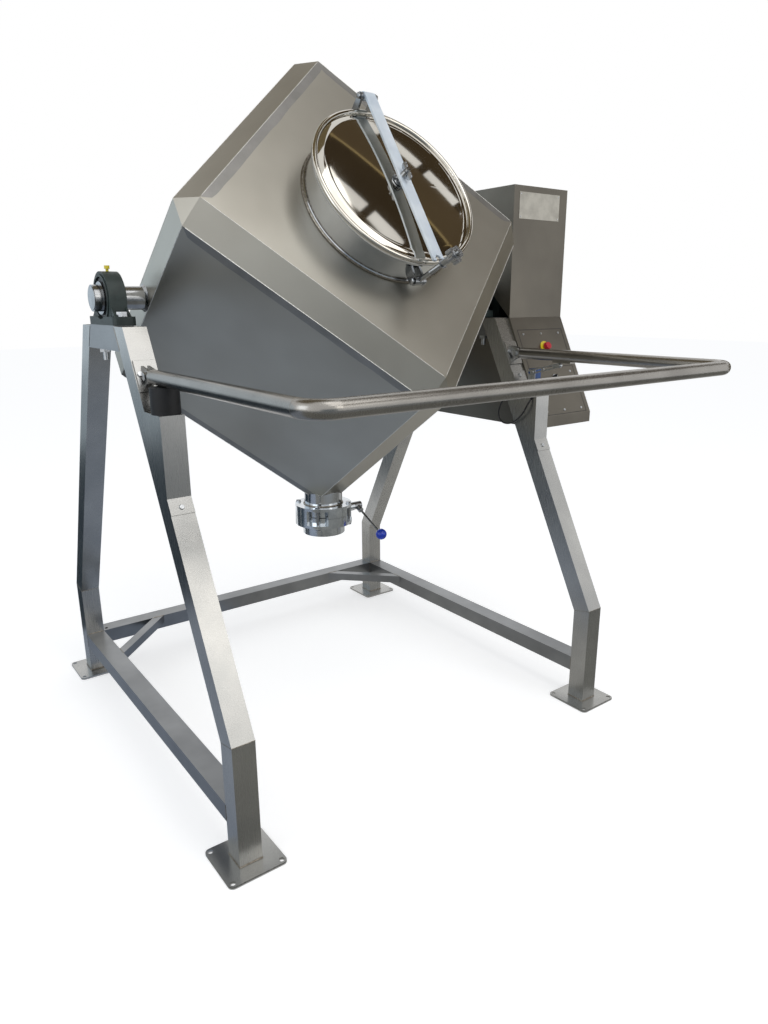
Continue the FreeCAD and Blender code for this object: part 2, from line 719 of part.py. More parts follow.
def swing_bolt():
    """Eye bolt that swings on its pin."""
    w = 2 * (SWING_EYE_R - 2)
    eye = rod(SWING_EYE_R, w, V(-w / 2, 0, 0), X)
    bolt = rod(SWING_R, SWING_LENGTH, V(0, 0, 0), Z)
    return on_swing(eye.fuse(bolt).cut(rod(SWING_PIN_R + RUN, w, V(-w / 2, 0, 0), X)))


def hand_nut():
    """Lobed nut on the swing bolt."""
    hub = rod(HAND_NUT_HUB_R, HAND_NUT_HUB_H, V(0, 0, HAND_NUT_SEAT), Z)
    seat = HAND_NUT_SEAT + HAND_NUT_HUB_H
    core = rod(HAND_NUT_LOBE_AT, HAND_NUT_LOBE_H, V(0, 0, seat), Z)
    lobes = []
    for k in range(HAND_NUT_LOBES):
        a = 2 * math.pi * k / HAND_NUT_LOBES
        at = V(HAND_NUT_LOBE_AT * math.cos(a), HAND_NUT_LOBE_AT * math.sin(a), seat)
        lobes.append(rod(HAND_NUT_LOBE_R, HAND_NUT_LOBE_H, at, Z))
    nut = hub.fuse([core] + lobes)
    return on_swing(nut.cut(rod(SWING_R + RUN, HAND_NUT_HUB_H + HAND_NUT_LOBE_H, V(0, 0, HAND_NUT_SEAT), Z)))


def valve_half(upper):
    """One of the two bolted halves of the valve's body: thin flange, waist and pads."""
    mid = VALVE_MID_Z
    reach = VALVE_H / 2
    if upper:
        z0, z1 = mid, mid + reach
        body = outlet_bar(VALVE_R, z1 - VALVE_PLATE_T, z1).fuse(outlet_bar(VALVE_WAIST_R, z0, z1))
    else:
        z0, z1 = mid - reach, mid - VALVE_SPLIT
        body = outlet_bar(VALVE_R, z0, z0 + VALVE_PLATE_T).fuse(outlet_bar(VALVE_WAIST_R, z0, z1))
        body = body.fuse(outlet_bar(SPIGOT_R, z0 - SPIGOT_H, z0))
    disc = outlet_bar(VALVE_R, z0, z1)
    half = VALVE_PAD_W / 2
    pads = [disc.common(box(-half, half, -VALVE_R, VALVE_R, z0, z1)),
            disc.common(box(-VALVE_R, VALVE_R, -half, half, z0, z1))]
    boss = rod(STEM_BOSS_R, STEM_BOSS_END, V(0, 0, mid), X)
    boss = boss.common(box(0, STEM_BOSS_END, -STEM_BOSS_R, STEM_BOSS_R, z0, z1))
    body = body.fuse(pads + [boss])
    body = body.cut(outlet_bar(VALVE_BORE_R, z0 - SPIGOT_H, z1))
    for x, y in valve_bolt_places():
        body = body.cut(rod(VALVE_BOLT_R + RUN, VALVE_H + 2, V(x, y, mid - reach - 1), Z))
    return on_vessel(body.cut(rod(STEM_R + RUN, 2 * STEM_BOSS_END, V(-VALVE_BORE_R - 12, 0, mid), X)))


def valve_bolt_places():
    turns = [math.radians(45 + 90 * k) for k in range(4)]
    return [(VALVE_BOLT_CIRCLE_R * math.cos(a), VALVE_BOLT_CIRCLE_R * math.sin(a)) for a in turns]


def valve_bolts():
    """Four bolts that hold the two halves together."""
    top = VALVE_MID_Z + VALVE_H / 2
    bolts = []
    for x, y in valve_bolt_places():
        head = hexagon(10, 8, V(x, y, top), Z)
        shank = rod(VALVE_BOLT_R, VALVE_H, V(x, y, top - VALVE_H), Z)
        nut = hexagon(10, 8, V(x, y, top - VALVE_H - 8), Z)
        bolts.append(on_vessel(head.fuse([shank, nut])))
    return group(bolts)


def valve_disc():
    """Round flap on its stem, closed at rest."""
    mid = VALVE_MID_Z
    disc = outlet_bar(VALVE_BORE_R - DISC_CLEAR, mid - DISC_T / 2, mid + DISC_T / 2)
    stem = rod(STEM_R, LEVER_HUB_END + VALVE_BORE_R + 6, V(-VALVE_BORE_R - 6, 0, mid), X)
    return on_vessel(disc.fuse(stem))


def lever_frame(shape):
    """From the lever's frame, Z along its rod, to the valve's stem."""
    shape = shape.copy()
    shape.rotate(V(0, 0, 0), X, 90 + LEVER_DROP)
    shape.translate(V(0, 0, VALVE_MID_Z))
    return on_vessel(shape)


def valve_lever():
    """Clamping hub on the stem with a thin rod."""
    x0 = STEM_BOSS_END + FIT
    hub = rod(STEM_R + 9, LEVER_HUB_END - x0 - 2, V(x0, 0, 0), X)
    grip = rod(LEVER_HUB_R, 46, V((x0 + LEVER_HUB_END) / 2, 0, -8), Z)
    handle = rod(LEVER_R, LEVER_LENGTH, V((x0 + LEVER_HUB_END) / 2, 0, 0), Z)
    lever = hub.fuse([grip, handle])
    return lever_frame(lever.cut(rod(STEM_R, LEVER_HUB_END, V(x0 - 5, 0, 0), X)))


def lever_ball():
    x0 = STEM_BOSS_END + FIT
    ball = Part.makeSphere(BALL_R, V((x0 + LEVER_HUB_END) / 2, 0, LEVER_LENGTH + BALL_R - 8))
    return lever_frame(ball.cut(rod(LEVER_R + RUN, LEVER_LENGTH, V((x0 + LEVER_HUB_END) / 2, 0, 0), Z)))


def rail_side(side):
    """Side bar of the guard rail with the hinge lug welded in its end."""
    start = -RAIL_HINGE_Y + RAIL_START
    length = RAIL_FRONT - RAIL_ELBOW - start
    bar = rod(RAIL_R, length, V(side * POST_X, -start, RAIL_Z), -Y)
    bore = rod(RAIL_R - RAIL_WALL, length - 3, V(side * POST_X, -start - 3, RAIL_Z), -Y)
    return bar.cut(bore).fuse(rail_tongue(side))


def rail_front():
    length = POST_SPAN_X - 2 * RAIL_ELBOW
    return tube(RAIL_R, RAIL_WALL, length, V(-length / 2, -RAIL_FRONT, RAIL_Z), X)


def rail_elbow(side):
    """Quarter bend between a side bar and the front bar."""
    centre = V(POST_X - RAIL_ELBOW, -(RAIL_FRONT - RAIL_ELBOW), RAIL_Z)
    start = centre + V(0, -RAIL_ELBOW, 0)
    bends = []
    for radius in (RAIL_R, RAIL_R - RAIL_WALL):
        disc = Part.Face(Part.Wire(Part.makeCircle(radius, start, X)))
        bends.append(disc.revolve(centre, Z, 90))
    elbow = bends[0].cut(bends[1])
    return elbow if side > 0 else mirror_x(elbow)


def rail_tongue(side):
    """Flat lug on the end of a side bar, drilled for the hinge bolt."""
    x = side * POST_X
    t = TONGUE_T / 2
    end = -RAIL_HINGE_Y + RAIL_START
    lug = box(x - t, x + t, -end, RAIL_HINGE_Y, RAIL_Z - TONGUE_R, RAIL_Z + TONGUE_R)
    round_end = rod(TONGUE_R, TONGUE_T, V(x - t, RAIL_HINGE_Y, RAIL_Z), X)
    return lug.fuse(round_end).cut(rod(RAIL_PIN_R + RUN, TONGUE_T, V(x - t, RAIL_HINGE_Y, RAIL_Z), X))


def rail_bracket(side):
    """Plate on the leg's front face with two cheeks round the tongue."""
    x = side * POST_X
    half = RAIL_PLATE_H / 2
    w = TUBE / 2 - 4
    up, low = RAIL_Z + half, RAIL_Z - half
    reach = RAIL_PLATE_T / math.cos(LEAN)
    plate = prism([(x - w, -leg_face_y(up), up), (x - w, -leg_face_y(low), low),
                   (x - w, -leg_face_y(low) - reach, low), (x - w, -leg_face_y(up) - reach, up)], V(2 * w, 0, 0))
    parts = []
    for k in (-1, 1):
        x0 = x + k * (TONGUE_T / 2 + FIT + CHEEK_T / 2) - CHEEK_T / 2
        cheek = prism([(x0, -leg_face_y(up - 16) - 2, up - 16), (x0, -leg_face_y(low + 16) - 2, low + 16),
                       (x0, RAIL_HINGE_Y, RAIL_Z - CHEEK_R), (x0, RAIL_HINGE_Y, RAIL_Z + CHEEK_R)], V(CHEEK_T, 0, 0))
        parts.append(cheek.fuse(rod(CHEEK_R, CHEEK_T, V(x0, RAIL_HINGE_Y, RAIL_Z), X)))
    bracket = plate.fuse(parts)
    length = TONGUE_T + 2 * (CHEEK_T + FIT) + 2
    return bracket.cut(rod(RAIL_PIN_R + RUN, length, V(x - length / 2, RAIL_HINGE_Y, RAIL_Z), X))


def rail_bolt(side):
    """Hinge bolt with head and nut."""
    x = side * POST_X
    half = TONGUE_T / 2 + FIT + CHEEK_T
    shank = rod(RAIL_PIN_R, 2 * half + 22, V(x - half - 2, RAIL_HINGE_Y, RAIL_Z), X)
    head = hexagon(12, 9, V(x - half - 9, RAIL_HINGE_Y, RAIL_Z), X)
    nut = hexagon(12, 12, V(x + half, RAIL_HINGE_Y, RAIL_Z), X)
    return shank.fuse([head, nut])


def rail_plate_bolts(side):
    """Two bolts that hold a hinge plate on the leg, one each side of the cheeks."""
    bolts = []
    for dx in (-PLATE_BOLT_OUT, PLATE_BOLT_OUT):
        z = RAIL_Z + PLATE_BOLT_UP
        bolt = hexagon(PLATE_BOLT_R, PLATE_BOLT_H, V(0, 0, 0), Z)
        bolt.rotate(V(0, 0, 0), X, 90 - LEG_LEAN)
        bolt.translate(V(side * POST_X + dx, -leg_face_y(z) - RAIL_PLATE_T / math.cos(LEAN), z))
        bolts.append(bolt)
    return bolts


def console(side):
    """Folded sheet console on a front leg: top, front, two cheeks, two flanges."""
    x = side * POST_X
    w = TUBE / 2
    z_low = FRAME_TOP - (CONSOLE_OUT - FRAME_HALF_TOP) / math.tan(LEAN)
    top = CONSOLE_TOP_RIGHT if side > 0 else CONSOLE_TOP_LEFT
    t = CONSOLE_SHEET
    reach = t / math.cos(LEAN)
    rise = reach / math.tan(LEAN)
    outer = prism([(x - w, -leg_face_y(top), top), (x - w, -CONSOLE_OUT, top), (x - w, -CONSOLE_OUT, z_low)],
                  V(2 * w, 0, 0))
    inner = prism([(x - w + t, -leg_face_y(top) + 60, top - t), (x - w + t, -CONSOLE_OUT + t, top - t),
                   (x - w + t, -CONSOLE_OUT + t, z_low - 60)], V(2 * (w - t), 0, 0))
    low, high = z_low - CONSOLE_FLANGE, top + CONSOLE_FLANGE_UP
    foot = prism([(x - w, -leg_face_y(z_low + 5), z_low + 5), (x - w, -leg_face_y(low), low),
                  (x - w, -leg_face_y(low) - reach, low), (x - w, -CONSOLE_OUT, z_low + rise)], V(2 * w, 0, 0))
    head = prism([(x - w, -leg_face_y(top - t), top - t), (x - w, -leg_face_y(high), high),
                  (x - w, -leg_face_y(high) - reach, high), (x - w, -leg_face_y(top - t) - reach, top - t)],
                 V(2 * w, 0, 0))
    return outer.cut(inner).fuse([foot, head])


def slotted_screw(radius, height, slot):
    """Round screw head with a slot, standing on Z = 0."""
    head = Part.makeCone(radius, radius * 0.8, height, V(0, 0, 0), Z)
    return head.cut(box(-radius, radius, -slot / 2, slot / 2, height * 0.6, height + 1))


def console_screws(side):
    """The two screws that hold a console on the sloping face of its leg."""
    z_low = FRAME_TOP - (CONSOLE_OUT - FRAME_HALF_TOP) / math.tan(LEAN)
    top = CONSOLE_TOP_RIGHT if side > 0 else CONSOLE_TOP_LEFT
    screws = []
    for z in (z_low - CONSOLE_FLANGE / 2, top + CONSOLE_FLANGE_UP * 0.72):
        screw = slotted_screw(SCREW_HEAD_R, SCREW_HEAD_H, SCREW_SLOT)
        screw.rotate(V(0, 0, 0), Z, 25)
        screw.rotate(V(0, 0, 0), X, 90 - LEG_LEAN)
        screw.translate(V(side * POST_X, -leg_face_y(z) - CONSOLE_SHEET / math.cos(LEAN), z))
        screws.append(screw)
    return screws


def rail_buffer():
    """Rubber block on the left console that the rail rests on."""
    top = RAIL_Z - RAIL_R
    return rod(BUFFER_R, top - CONSOLE_TOP_LEFT, V(-POST_X, -BUFFER_Y, CONSOLE_TOP_LEFT), Z)


def switch_shaft_at():
    """Where the switch's shaft sits, as (y, z)."""
    return -SWITCH_Y - SWITCH_D / 2, CONSOLE_TOP_RIGHT + SWITCH_H - SWITCH_SHAFT_DROP


def limit_switch():
    """Switch body on the right console with its shaft."""
    y, z = switch_shaft_at()
    body = box(SWITCH_X, SWITCH_X + SWITCH_W, -SWITCH_Y - SWITCH_D, -SWITCH_Y,
               CONSOLE_TOP_RIGHT + SWITCH_PLATE_T, CONSOLE_TOP_RIGHT + SWITCH_H)
    upright = [e for e in body.Edges if abs(e.Vertexes[0].Z - e.Vertexes[1].Z) > SWITCH_H / 2]
    body = body.makeFillet(4, upright)
    shaft = rod(SWITCH_SHAFT_R, 18, V(SWITCH_X - 18, y, z), X)
    return body.fuse(shaft)


def switch_plate():
    """Bent mounting plate beside and under the switch."""
    t = SWITCH_PLATE_T
    y, z = switch_shaft_at()
    y0, y1 = -SWITCH_Y - SWITCH_D + 2, -SWITCH_Y - 2
    foot = box(SWITCH_X - t, SWITCH_X + SWITCH_W - 4, y0, y1, CONSOLE_TOP_RIGHT, CONSOLE_TOP_RIGHT + t)
    side = box(SWITCH_X - t, SWITCH_X, y0, y1, CONSOLE_TOP_RIGHT, CONSOLE_TOP_RIGHT + SWITCH_H - 2)
    return foot.fuse(side).cut(rod(SWITCH_SHAFT_R + 3, 3 * t, V(SWITCH_X - 2 * t, y, z), X))


def switch_lever():
    """Slotted arm with a roller that the rail presses down."""
    y0, z0 = switch_shaft_at()
    y1 = -SWITCH_LEVER_Y
    z1 = RAIL_Z - RAIL_R - ACTUATOR_T - FIT - ROLLER_R
    length = math.hypot(y1 - y0, z1 - z0)
    w, t = SWITCH_LEVER_W / 2, SWITCH_LEVER_T
    arm = box(0, t, -length, 0, -w, w).fuse([rod(w, t, V(0, 0, 0), X), rod(w, t, V(0, -length, 0), X)])
    for k in (0.14, 0.52):
        slot = box(-1, t + 1, -length * (k + 0.3), -length * k, -3.5, 3.5)
        arm = arm.cut(slot)
    hub = rod(w, 12, V(0, 0, 0), X)
    pin = rod(4, ROLLER_W + t + 6, V(0, -length, 0), X)
    roller = rod(ROLLER_R, ROLLER_W, V(t + 2, -length, 0), X)
    lever = arm.fuse([hub, pin, roller]).cut(rod(SWITCH_SHAFT_R + RUN, 40, V(-10, 0, 0), X))
    lever.rotate(V(0, 0, 0), X, -math.degrees(math.atan2(z1 - z0, y0 - y1)))
    lever.translate(V(SWITCH_X - 18, y0, z0))
    return lever


def rail_actuator():
    """Saddle under the right side bar that meets the switch's roller."""
    half = ACTUATOR_W / 2
    y1 = -ACTUATOR_Y
    low = RAIL_Z - RAIL_R - ACTUATOR_T
    saddle = box(POST_X - half, POST_X + half, y1 - ACTUATOR_LENGTH, y1, low, low + ACTUATOR_T + 9)
    return saddle.cut(rod(RAIL_R + RUN, ACTUATOR_LENGTH, V(POST_X, y1, RAIL_Z), -Y))


def cover_front_y(z):
    """Distance of the cover's sloping front from the middle at a height."""
    return COVER_FRONT + (FRAME_TOP - z) * math.tan(COVER_SLOPE)


def cover_outline(inset):
    """Side view of the drive cover as (y, z) points, drawn in by a sheet's thickness."""
    front = COVER_FRONT - inset
    fold = COVER_FOLD_Y - inset
    shift = inset * math.tan(COVER_SLOPE / 2)
    half = [(front, COVER_TOP - inset), (front, FRAME_TOP - shift), (fold, COVER_FOLD_Z - shift),
            (fold, COVER_BOTTOM + inset)]
    return half + [(-y, z) for y, z in reversed(half)]


def drive_cover():
    """Sheet cover outside the right frame, upright above and flared below."""
    t = COVER_SHEET
    outer = prism([(OUTER_X, y, z) for y, z in cover_outline(0)], V(COVER_WIDTH, 0, 0))
    inner = prism([(OUTER_X + t, y, z) for y, z in cover_outline(t)], V(COVER_WIDTH - 2 * t, 0, 0))
    cover = outer.cut([inner, on_panel(rod(ESTOP_STEM_R + 1, 6 * t, V(0, 0, -5 * t), Z), ESTOP_Z)])
    half = [(OUTER_X - t, y, z) for y, z in COVER_NOTCH]
    notch = prism(half + [(x, -y, z) for x, y, z in reversed(half)], V(3 * t, 0, 0))
    return cover.cut([notch, rod(COVER_SHAFT_HOLE_R, 3 * t, V(OUTER_X - t, 0, SHAFT_Z), X)])


def cover_screws():
    """Screws that hold the removable front panel of the cover."""
    screws = []
    for z, places in COVER_SCREWS:
        for dx in places:
            screw = slotted_screw(6, 3, 1.5)
            screw.rotate(V(0, 0, 0), X, 90 - math.degrees(COVER_SLOPE))
            screw.translate(V(OUTER_X + COVER_WIDTH / 2 + dx, -cover_front_y(z), z))
            screws.append(screw)
    return screws


def gear_unit():
    """Cast gear housing with a hollow output shaft that sits on the shaft's end."""
    half = GEAR_D / 2
    body = box(GEAR_X0, GEAR_X0 + GEAR_W, -half, half, SHAFT_Z - GEAR_DOWN, SHAFT_Z + GEAR_UP)
    long_edges = [e for e in body.Edges if abs(e.Vertexes[0].X - e.Vertexes[1].X) > GEAR_W / 2]
    body = body.makeFillet(GEAR_ROUND, long_edges)
    hub = rod(HUB_R, GEAR_W + 2 * HUB_END, V(GEAR_X0 - HUB_END, 0, SHAFT_Z), X)
    return body.fuse(hub).cut(rod(SHAFT_R + RUN, GEAR_W + 2 * HUB_END, V(GEAR_X0 - HUB_END, 0, SHAFT_Z), X))


def motor():
    """Finned motor that hangs under the gear unit, with flange, box and fan cowl."""
    x = GEAR_X0 + GEAR_W / 2
    top = SHAFT_Z - GEAR_DOWN
    flange = rod(MOTOR_FLANGE_R, MOTOR_FLANGE_T, V(x, 0, top - MOTOR_FLANGE_T), Z)
    core = rod(MOTOR_R - MOTOR_FIN, MOTOR_LENGTH, V(x, 0, top - MOTOR_LENGTH), Z)
    cowl = rod(MOTOR_R, MOTOR_LENGTH * 0.22, V(x, 0, top - MOTOR_LENGTH), Z)
    parts = [flange, cowl]
    for k in range(MOTOR_FINS):
        fin = box(-1.5, 1.5, MOTOR_R - MOTOR_FIN - 3, MOTOR_R - 1, top - MOTOR_LENGTH * 0.8, top - MOTOR_FLANGE_T)
        fin.rotate(V(0, 0, 0), Z, 360.0 * k / MOTOR_FINS)
        fin.translate(V(x, 0, 0))
        parts.append(fin)
    mid = top - MOTOR_LENGTH / 2
    parts.append(box(x - 48, x + 48, MOTOR_R - MOTOR_FIN - 5, MOTOR_R + TERMINAL_BOX, mid - 55, mid + 55))
    return core.fuse(parts).removeSplitter()


def torque_arm():
    """Plate that ties the gear unit to the side frame's outer face."""
    z0 = SHAFT_Z - GEAR_DOWN
    z1 = FRAME_TOP - 12
    foot = box(OUTER_X + COVER_SHEET, OUTER_X + COVER_SHEET + ARM_PLATE_T, -70, 70, z0, z1)
    web = box(OUTER_X + COVER_SHEET, GEAR_X0, -ARM_PLATE_T / 2, ARM_PLATE_T / 2, z0, z1 - 20)
    return foot.fuse(web)


PANEL_MID_X = OUTER_X + COVER_WIDTH / 2


def on_panel(shape, z):
    """From a control's frame, Z out of the panel, to the sloping front of the cover."""
    shape = shape.copy()
    shape.rotate(V(0, 0, 0), X, 90 - math.degrees(COVER_SLOPE))
    shape.translate(V(PANEL_MID_X, -cover_front_y(z), z))
    return shape


def estop_plate():
    plate = rod(ESTOP_PLATE_R, ESTOP_PLATE_T, V(0, 0, 0), Z)
    neck = rod(ESTOP_STEM_R + 4, ESTOP_LIFT - 7, V(0, 0, 0), Z)
    return on_panel(plate.fuse(neck).cut(rod(ESTOP_STEM_R + RUN, 40, V(0, 0, 0), Z)), ESTOP_Z)


def estop_button():
    """Mushroom button that is pushed in and twisted out."""
    stem = rod(ESTOP_STEM_R, ESTOP_LIFT - 1, V(0, 0, 1), Z)
    head = Part.makeCone(ESTOP_HEAD_R, ESTOP_HEAD_R - 4, ESTOP_HEAD_T, V(0, 0, ESTOP_LIFT), Z)
    return on_panel(stem.fuse(head), ESTOP_Z)


def knob_bezel():
    ring = rod(KNOB_BEZEL_R, KNOB_BEZEL_T, V(0, 0, 0), Z)
    return on_panel(ring.cut(rod(KNOB_R + RUN, KNOB_BEZEL_T, V(0, 0, 0), Z)), KNOB_Z)


def selector_knob():
    """Rotary knob with a raised grip across it."""
    barrel = rod(KNOB_R, KNOB_H * 0.6, V(0, 0, 0), Z)
    grip = box(-3.5, 3.5, -KNOB_R + 0.5, KNOB_R - 0.5, KNOB_H * 0.5, KNOB_H)
    return on_panel(barrel.fuse(grip), KNOB_Z)


# Route of the switch's cable: out of the right console, in a loop, into the leg behind it
GROMMET_R = 9.0
CABLE_FROM = (INNER_X, -472, 1330)
CABLE_TO = (INNER_X, -340, 1345)
CABLE_OFF_LEG = [
    (18, -466, 1302), (20, -440, 1256), (19, -400, 1220), (18, -350, 1199), (17, -304, 1206),
    (16, -284, 1238), (18, -296, 1277), (20, -318, 1312),
]
CABLE_ROUTE = [(INNER_X - off, y, z) for off, y, z in CABLE_OFF_LEG]


def cable_ends():
    """Where the cable comes out of its two grommets."""
    ends = []
    for hole, nearest in ((CABLE_FROM, CABLE_ROUTE[0]), (CABLE_TO, CABLE_ROUTE[-1])):
        way = V(*nearest) - V(*hole)
        way.normalize()
        ends.append(V(*hole) + way * (GROMMET_R + RUN))
    return ends


def cable_grommets():
    """Rubber domes in the console's cheek and in the leg."""
    r = GROMMET_R
    domes = []
    for x, y, z in (CABLE_FROM, CABLE_TO):
        domes.append(Part.makeSphere(r, V(x, y, z)).common(box(x - r, x, y - r, y + r, z - r, z + r)))
    return group(domes)


def cable(points, radius):
    """A tube of straight runs joined by arcs; prints each arc's radius."""
    first_end, last_end = cable_ends()
    pts = [first_end] + [V(*p) for p in points] + [last_end]
    edges = []
    start = pts[0]
    length = 0.0
    for i in range(1, len(pts) - 1):
        a, b, c = pts[i - 1], pts[i], pts[i + 1]
        d1 = (b - a)
        d2 = (c - b)
        run = min(d1.Length, d2.Length)
        d1.normalize()
        d2.normalize()
        turn = d1.getAngle(d2)
        back = 0.45 * run
        bend = back / math.tan(turn / 2)
        p = b - d1 * back
        q = b + d2 * back
        inward = (d2 - d1)
        inward.normalize()
        centre = b + inward * (bend / math.cos(turn / 2))
        mid = centre - inward * bend
        edges.append(Part.LineSegment(start, p).toShape())
        edges.append(Part.Arc(p, mid, q).toShape())
        length += (p - start).Length + bend * turn
        start = q
        print("cable arc", i, "radius", round(bend, 1))
    edges.append(Part.LineSegment(start, pts[-1]).toShape())
    length += (pts[-1] - start).Length
    path = Part.Wire(edges)
    first = pts[1] - pts[0]
    first.normalize()
    profile = Part.Wire(Part.makeCircle(radius, pts[0], first))
    solid = path.makePipeShell([profile], True, True)
    print("cable length", round(length, 1), "volume ratio", round(solid.Volume / (math.pi * radius ** 2 * length), 4))
    return solid


def write(name, shape):
    shape.exportStep("parts/" + name + ".step")
    box_ = shape.BoundBox
    print(name, len(shape.Solids), shape.isValid(), round(shape.Volume / 1000.0, 1),
          [round(v) for v in (box_.XMin, box_.XMax, box_.YMin, box_.YMax, box_.ZMin, box_.ZMax)])


SIDES = (("left", -1), ("right", 1))

for word, s in SIDES:
    write("leg_front_" + word, whole_leg(s))
    write("leg_rear_" + word, mirror_y(whole_leg(s)))
    write("bearing_housing_" + word, pillow_block(s))
    write("console_" + word, console(s))
    write("guard_bar_" + word, rail_side(s))
write("top_beams", group([top_beam(s) for s in (-1, 1)]))
write("base_beams_side", group([base_beam_side(s) for s in (-1, 1)]))
write("base_beam_rear", base_beam_rear())
write("corner_braces", group([corner_brace(s) for s in (-1, 1)]))
write("foot_plates", group([foot_plate(a, b) for a in (-1, 1) for b in (-1, 1)]))
write("bearing_outer_rings", group([bearing_outer_ring(s) for s in (-1, 1)]))
write("bearing_inner_rings", group([bearing_inner_ring(s) for s in (-1, 1)] + [shaft_collar()]))
write("bearing_bolts", group([bearing_bolt(a, b) for a in (-1, 1) for b in (-1, 1)]))
write("grease_caps", group([grease_cap(s) for s in (-1, 1)]))
write("vessel_shell", vessel_shell())
write("outlet_tube", outlet_tube())
write("shaft_left", shaft_left())
write("shaft_right", shaft_right())
write("manhole_collar", manhole_collar())
write("lid_gasket", lid_gasket())
write("lid_dome", lid_dome())
write("lid_arm", lid_arm())
write("lid_stud", lid_stud())
write("lid_wing_nut", lid_wing_nut())
write("lid_hinge_bracket", lid_hinge_bracket())
write("swing_bolt_bracket", swing_bracket())
write("swing_bolt", swing_bolt())
write("hand_nut", hand_nut())
write("valve_body_upper", valve_half(True))
write("valve_body_lower", valve_half(False))
write("valve_bolts", valve_bolts())
write("valve_disc", valve_disc())
write("valve_lever", valve_lever())
write("lever_ball", lever_ball())
write("guard_bar_front", rail_front())
write("guard_elbows", group([rail_elbow(s) for s in (-1, 1)]))
write("guard_hinge_brackets", group([rail_bracket(s) for s in (-1, 1)]))
write("guard_hinge_bolts", group([rail_bolt(s) for s in (-1, 1)] + rail_plate_bolts(-1) + rail_plate_bolts(1)))
write("guard_actuator", rail_actuator())
write("guard_buffer", rail_buffer())
write("limit_switch", limit_switch())
write("limit_switch_plate", switch_plate())
write("switch_lever", switch_lever())
write("drive_cover", drive_cover())
write("panel_screws", group(console_screws(-1) + console_screws(1) + cover_screws()))
write("gear_unit", gear_unit())
write("drive_motor", motor())
write("torque_arm", torque_arm())
write("switch_cable", cable(CABLE_ROUTE, CABLE_R))
write("cable_grommets", cable_grommets())
write("estop_plate", estop_plate())
write("estop_button", estop_button())
write("selector_bezel", knob_bezel())
write("selector_knob", selector_knob())
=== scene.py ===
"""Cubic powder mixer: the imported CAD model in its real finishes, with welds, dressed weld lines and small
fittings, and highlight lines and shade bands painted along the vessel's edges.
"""

import itertools
import math

import bmesh
import bpy
from bpy.props import FloatProperty, FloatVectorProperty, PointerProperty
from mathutils import Matrix, Vector, noise


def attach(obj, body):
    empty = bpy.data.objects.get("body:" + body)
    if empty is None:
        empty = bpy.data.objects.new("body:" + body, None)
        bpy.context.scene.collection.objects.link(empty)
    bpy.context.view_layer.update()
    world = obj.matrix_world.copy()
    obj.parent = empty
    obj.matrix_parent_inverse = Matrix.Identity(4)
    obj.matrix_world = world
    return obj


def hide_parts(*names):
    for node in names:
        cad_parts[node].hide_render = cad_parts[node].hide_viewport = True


bl_info = {
    "name": "Cubic powder mixer",
    "version": (1, 0, 0),
    "blender": (4, 5, 0),
    "location": "View3D > Sidebar > Mixer",
    "description": "Finishes, welds and fittings of a cube mixer on its frame",
    "category": "Object",
}

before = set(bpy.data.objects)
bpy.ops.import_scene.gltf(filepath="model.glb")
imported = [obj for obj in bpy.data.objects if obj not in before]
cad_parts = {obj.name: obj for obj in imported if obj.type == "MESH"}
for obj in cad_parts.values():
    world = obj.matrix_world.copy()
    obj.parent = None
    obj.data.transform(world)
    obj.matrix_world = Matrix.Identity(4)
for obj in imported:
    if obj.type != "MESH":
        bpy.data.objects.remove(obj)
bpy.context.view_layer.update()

X, Y, Z = Vector((1, 0, 0)), Vector((0, 1, 0)), Vector((0, 0, 1))

# Sizes of the frame, in metres
POST_X = 0.839
POST_Y = 0.819
HALF_TUBE = 0.040
BEND_Z = 0.434
LEAN = math.radians(27.37)
FRAME_TOP = 1.6658
FOOT_T = 0.010
BASE_TOP = 0.200
BASE_LOW = 0.134
BRACE_REACH = 0.300
BRACE_TUBE = 0.040
SHAFT_Z = 1.7576
LEG_TOP_Y = POST_Y - (FRAME_TOP - BEND_Z) * math.tan(LEAN)

# Sizes of the vessel and its manhole
HALF = 0.546
HALF_DEPTH = 0.521
BEVEL = 0.072
TILT = math.atan(math.sqrt(2) * HALF / HALF_DEPTH)
COLLAR_R = 0.290
COLLAR_TOP = HALF_DEPTH + 0.113
LID_BASE = COLLAR_TOP + 0.005
ARM_BASE = LID_BASE + 0.050
ARM_T = 0.008
SWING_OUT = 0.326
SWING_D = 0.571
SWING_REST = math.radians(12)
SWING_PIN_HALF = 0.0262
LID_PIN_UP = 0.346
LID_PIN_D = 0.679
LID_PIN_HALF = 0.036

# Sizes of the bearings: height of the shaft over the foot, and how far out ribs and bolts stand
BEARING_H = 0.0889
BEARING_END = 0.128
RIB_HEAD = 0.078
BOLT_Y = 0.116

# Sizes of the valve, the rail and the drive cover
VALVE_TOP = 0.885
VALVE_H = 0.088
VALVE_MID = VALVE_TOP - VALVE_H / 2
RAIL_R = 0.02415
RAIL_Z = 1.515
RAIL_FRONT = 1.335
RAIL_ELBOW = 0.062
OUTER_X = POST_X + HALF_TUBE
COVER_W = 0.349
COVER_FRONT = 0.240
COVER_FOLD = (0.456, 1.230)
SLOPE = math.atan((COVER_FOLD[0] - COVER_FRONT) / (FRAME_TOP - COVER_FOLD[1]))
PANEL_X = OUTER_X + COVER_W / 2
PANEL_OUT = Vector((0, -math.cos(SLOPE), math.sin(SLOPE)))

# The manhole's own frame: across, up the face, and out of it
UP_FACE = Vector((0, math.cos(TILT), math.sin(TILT)))
OUT_FACE = Vector((0, -math.sin(TILT), math.cos(TILT)))
HUB = Vector((0, 0, SHAFT_Z))


def on_face(u, v, d):
    """A point from the manhole's frame."""
    return HUB + X * u + UP_FACE * v + OUT_FACE * d


def front_y(z):
    """Distance of the cover's sloping panel from the middle at a height."""
    return COVER_FRONT + (FRAME_TOP - z) * math.tan(SLOPE)


# Colour and materials

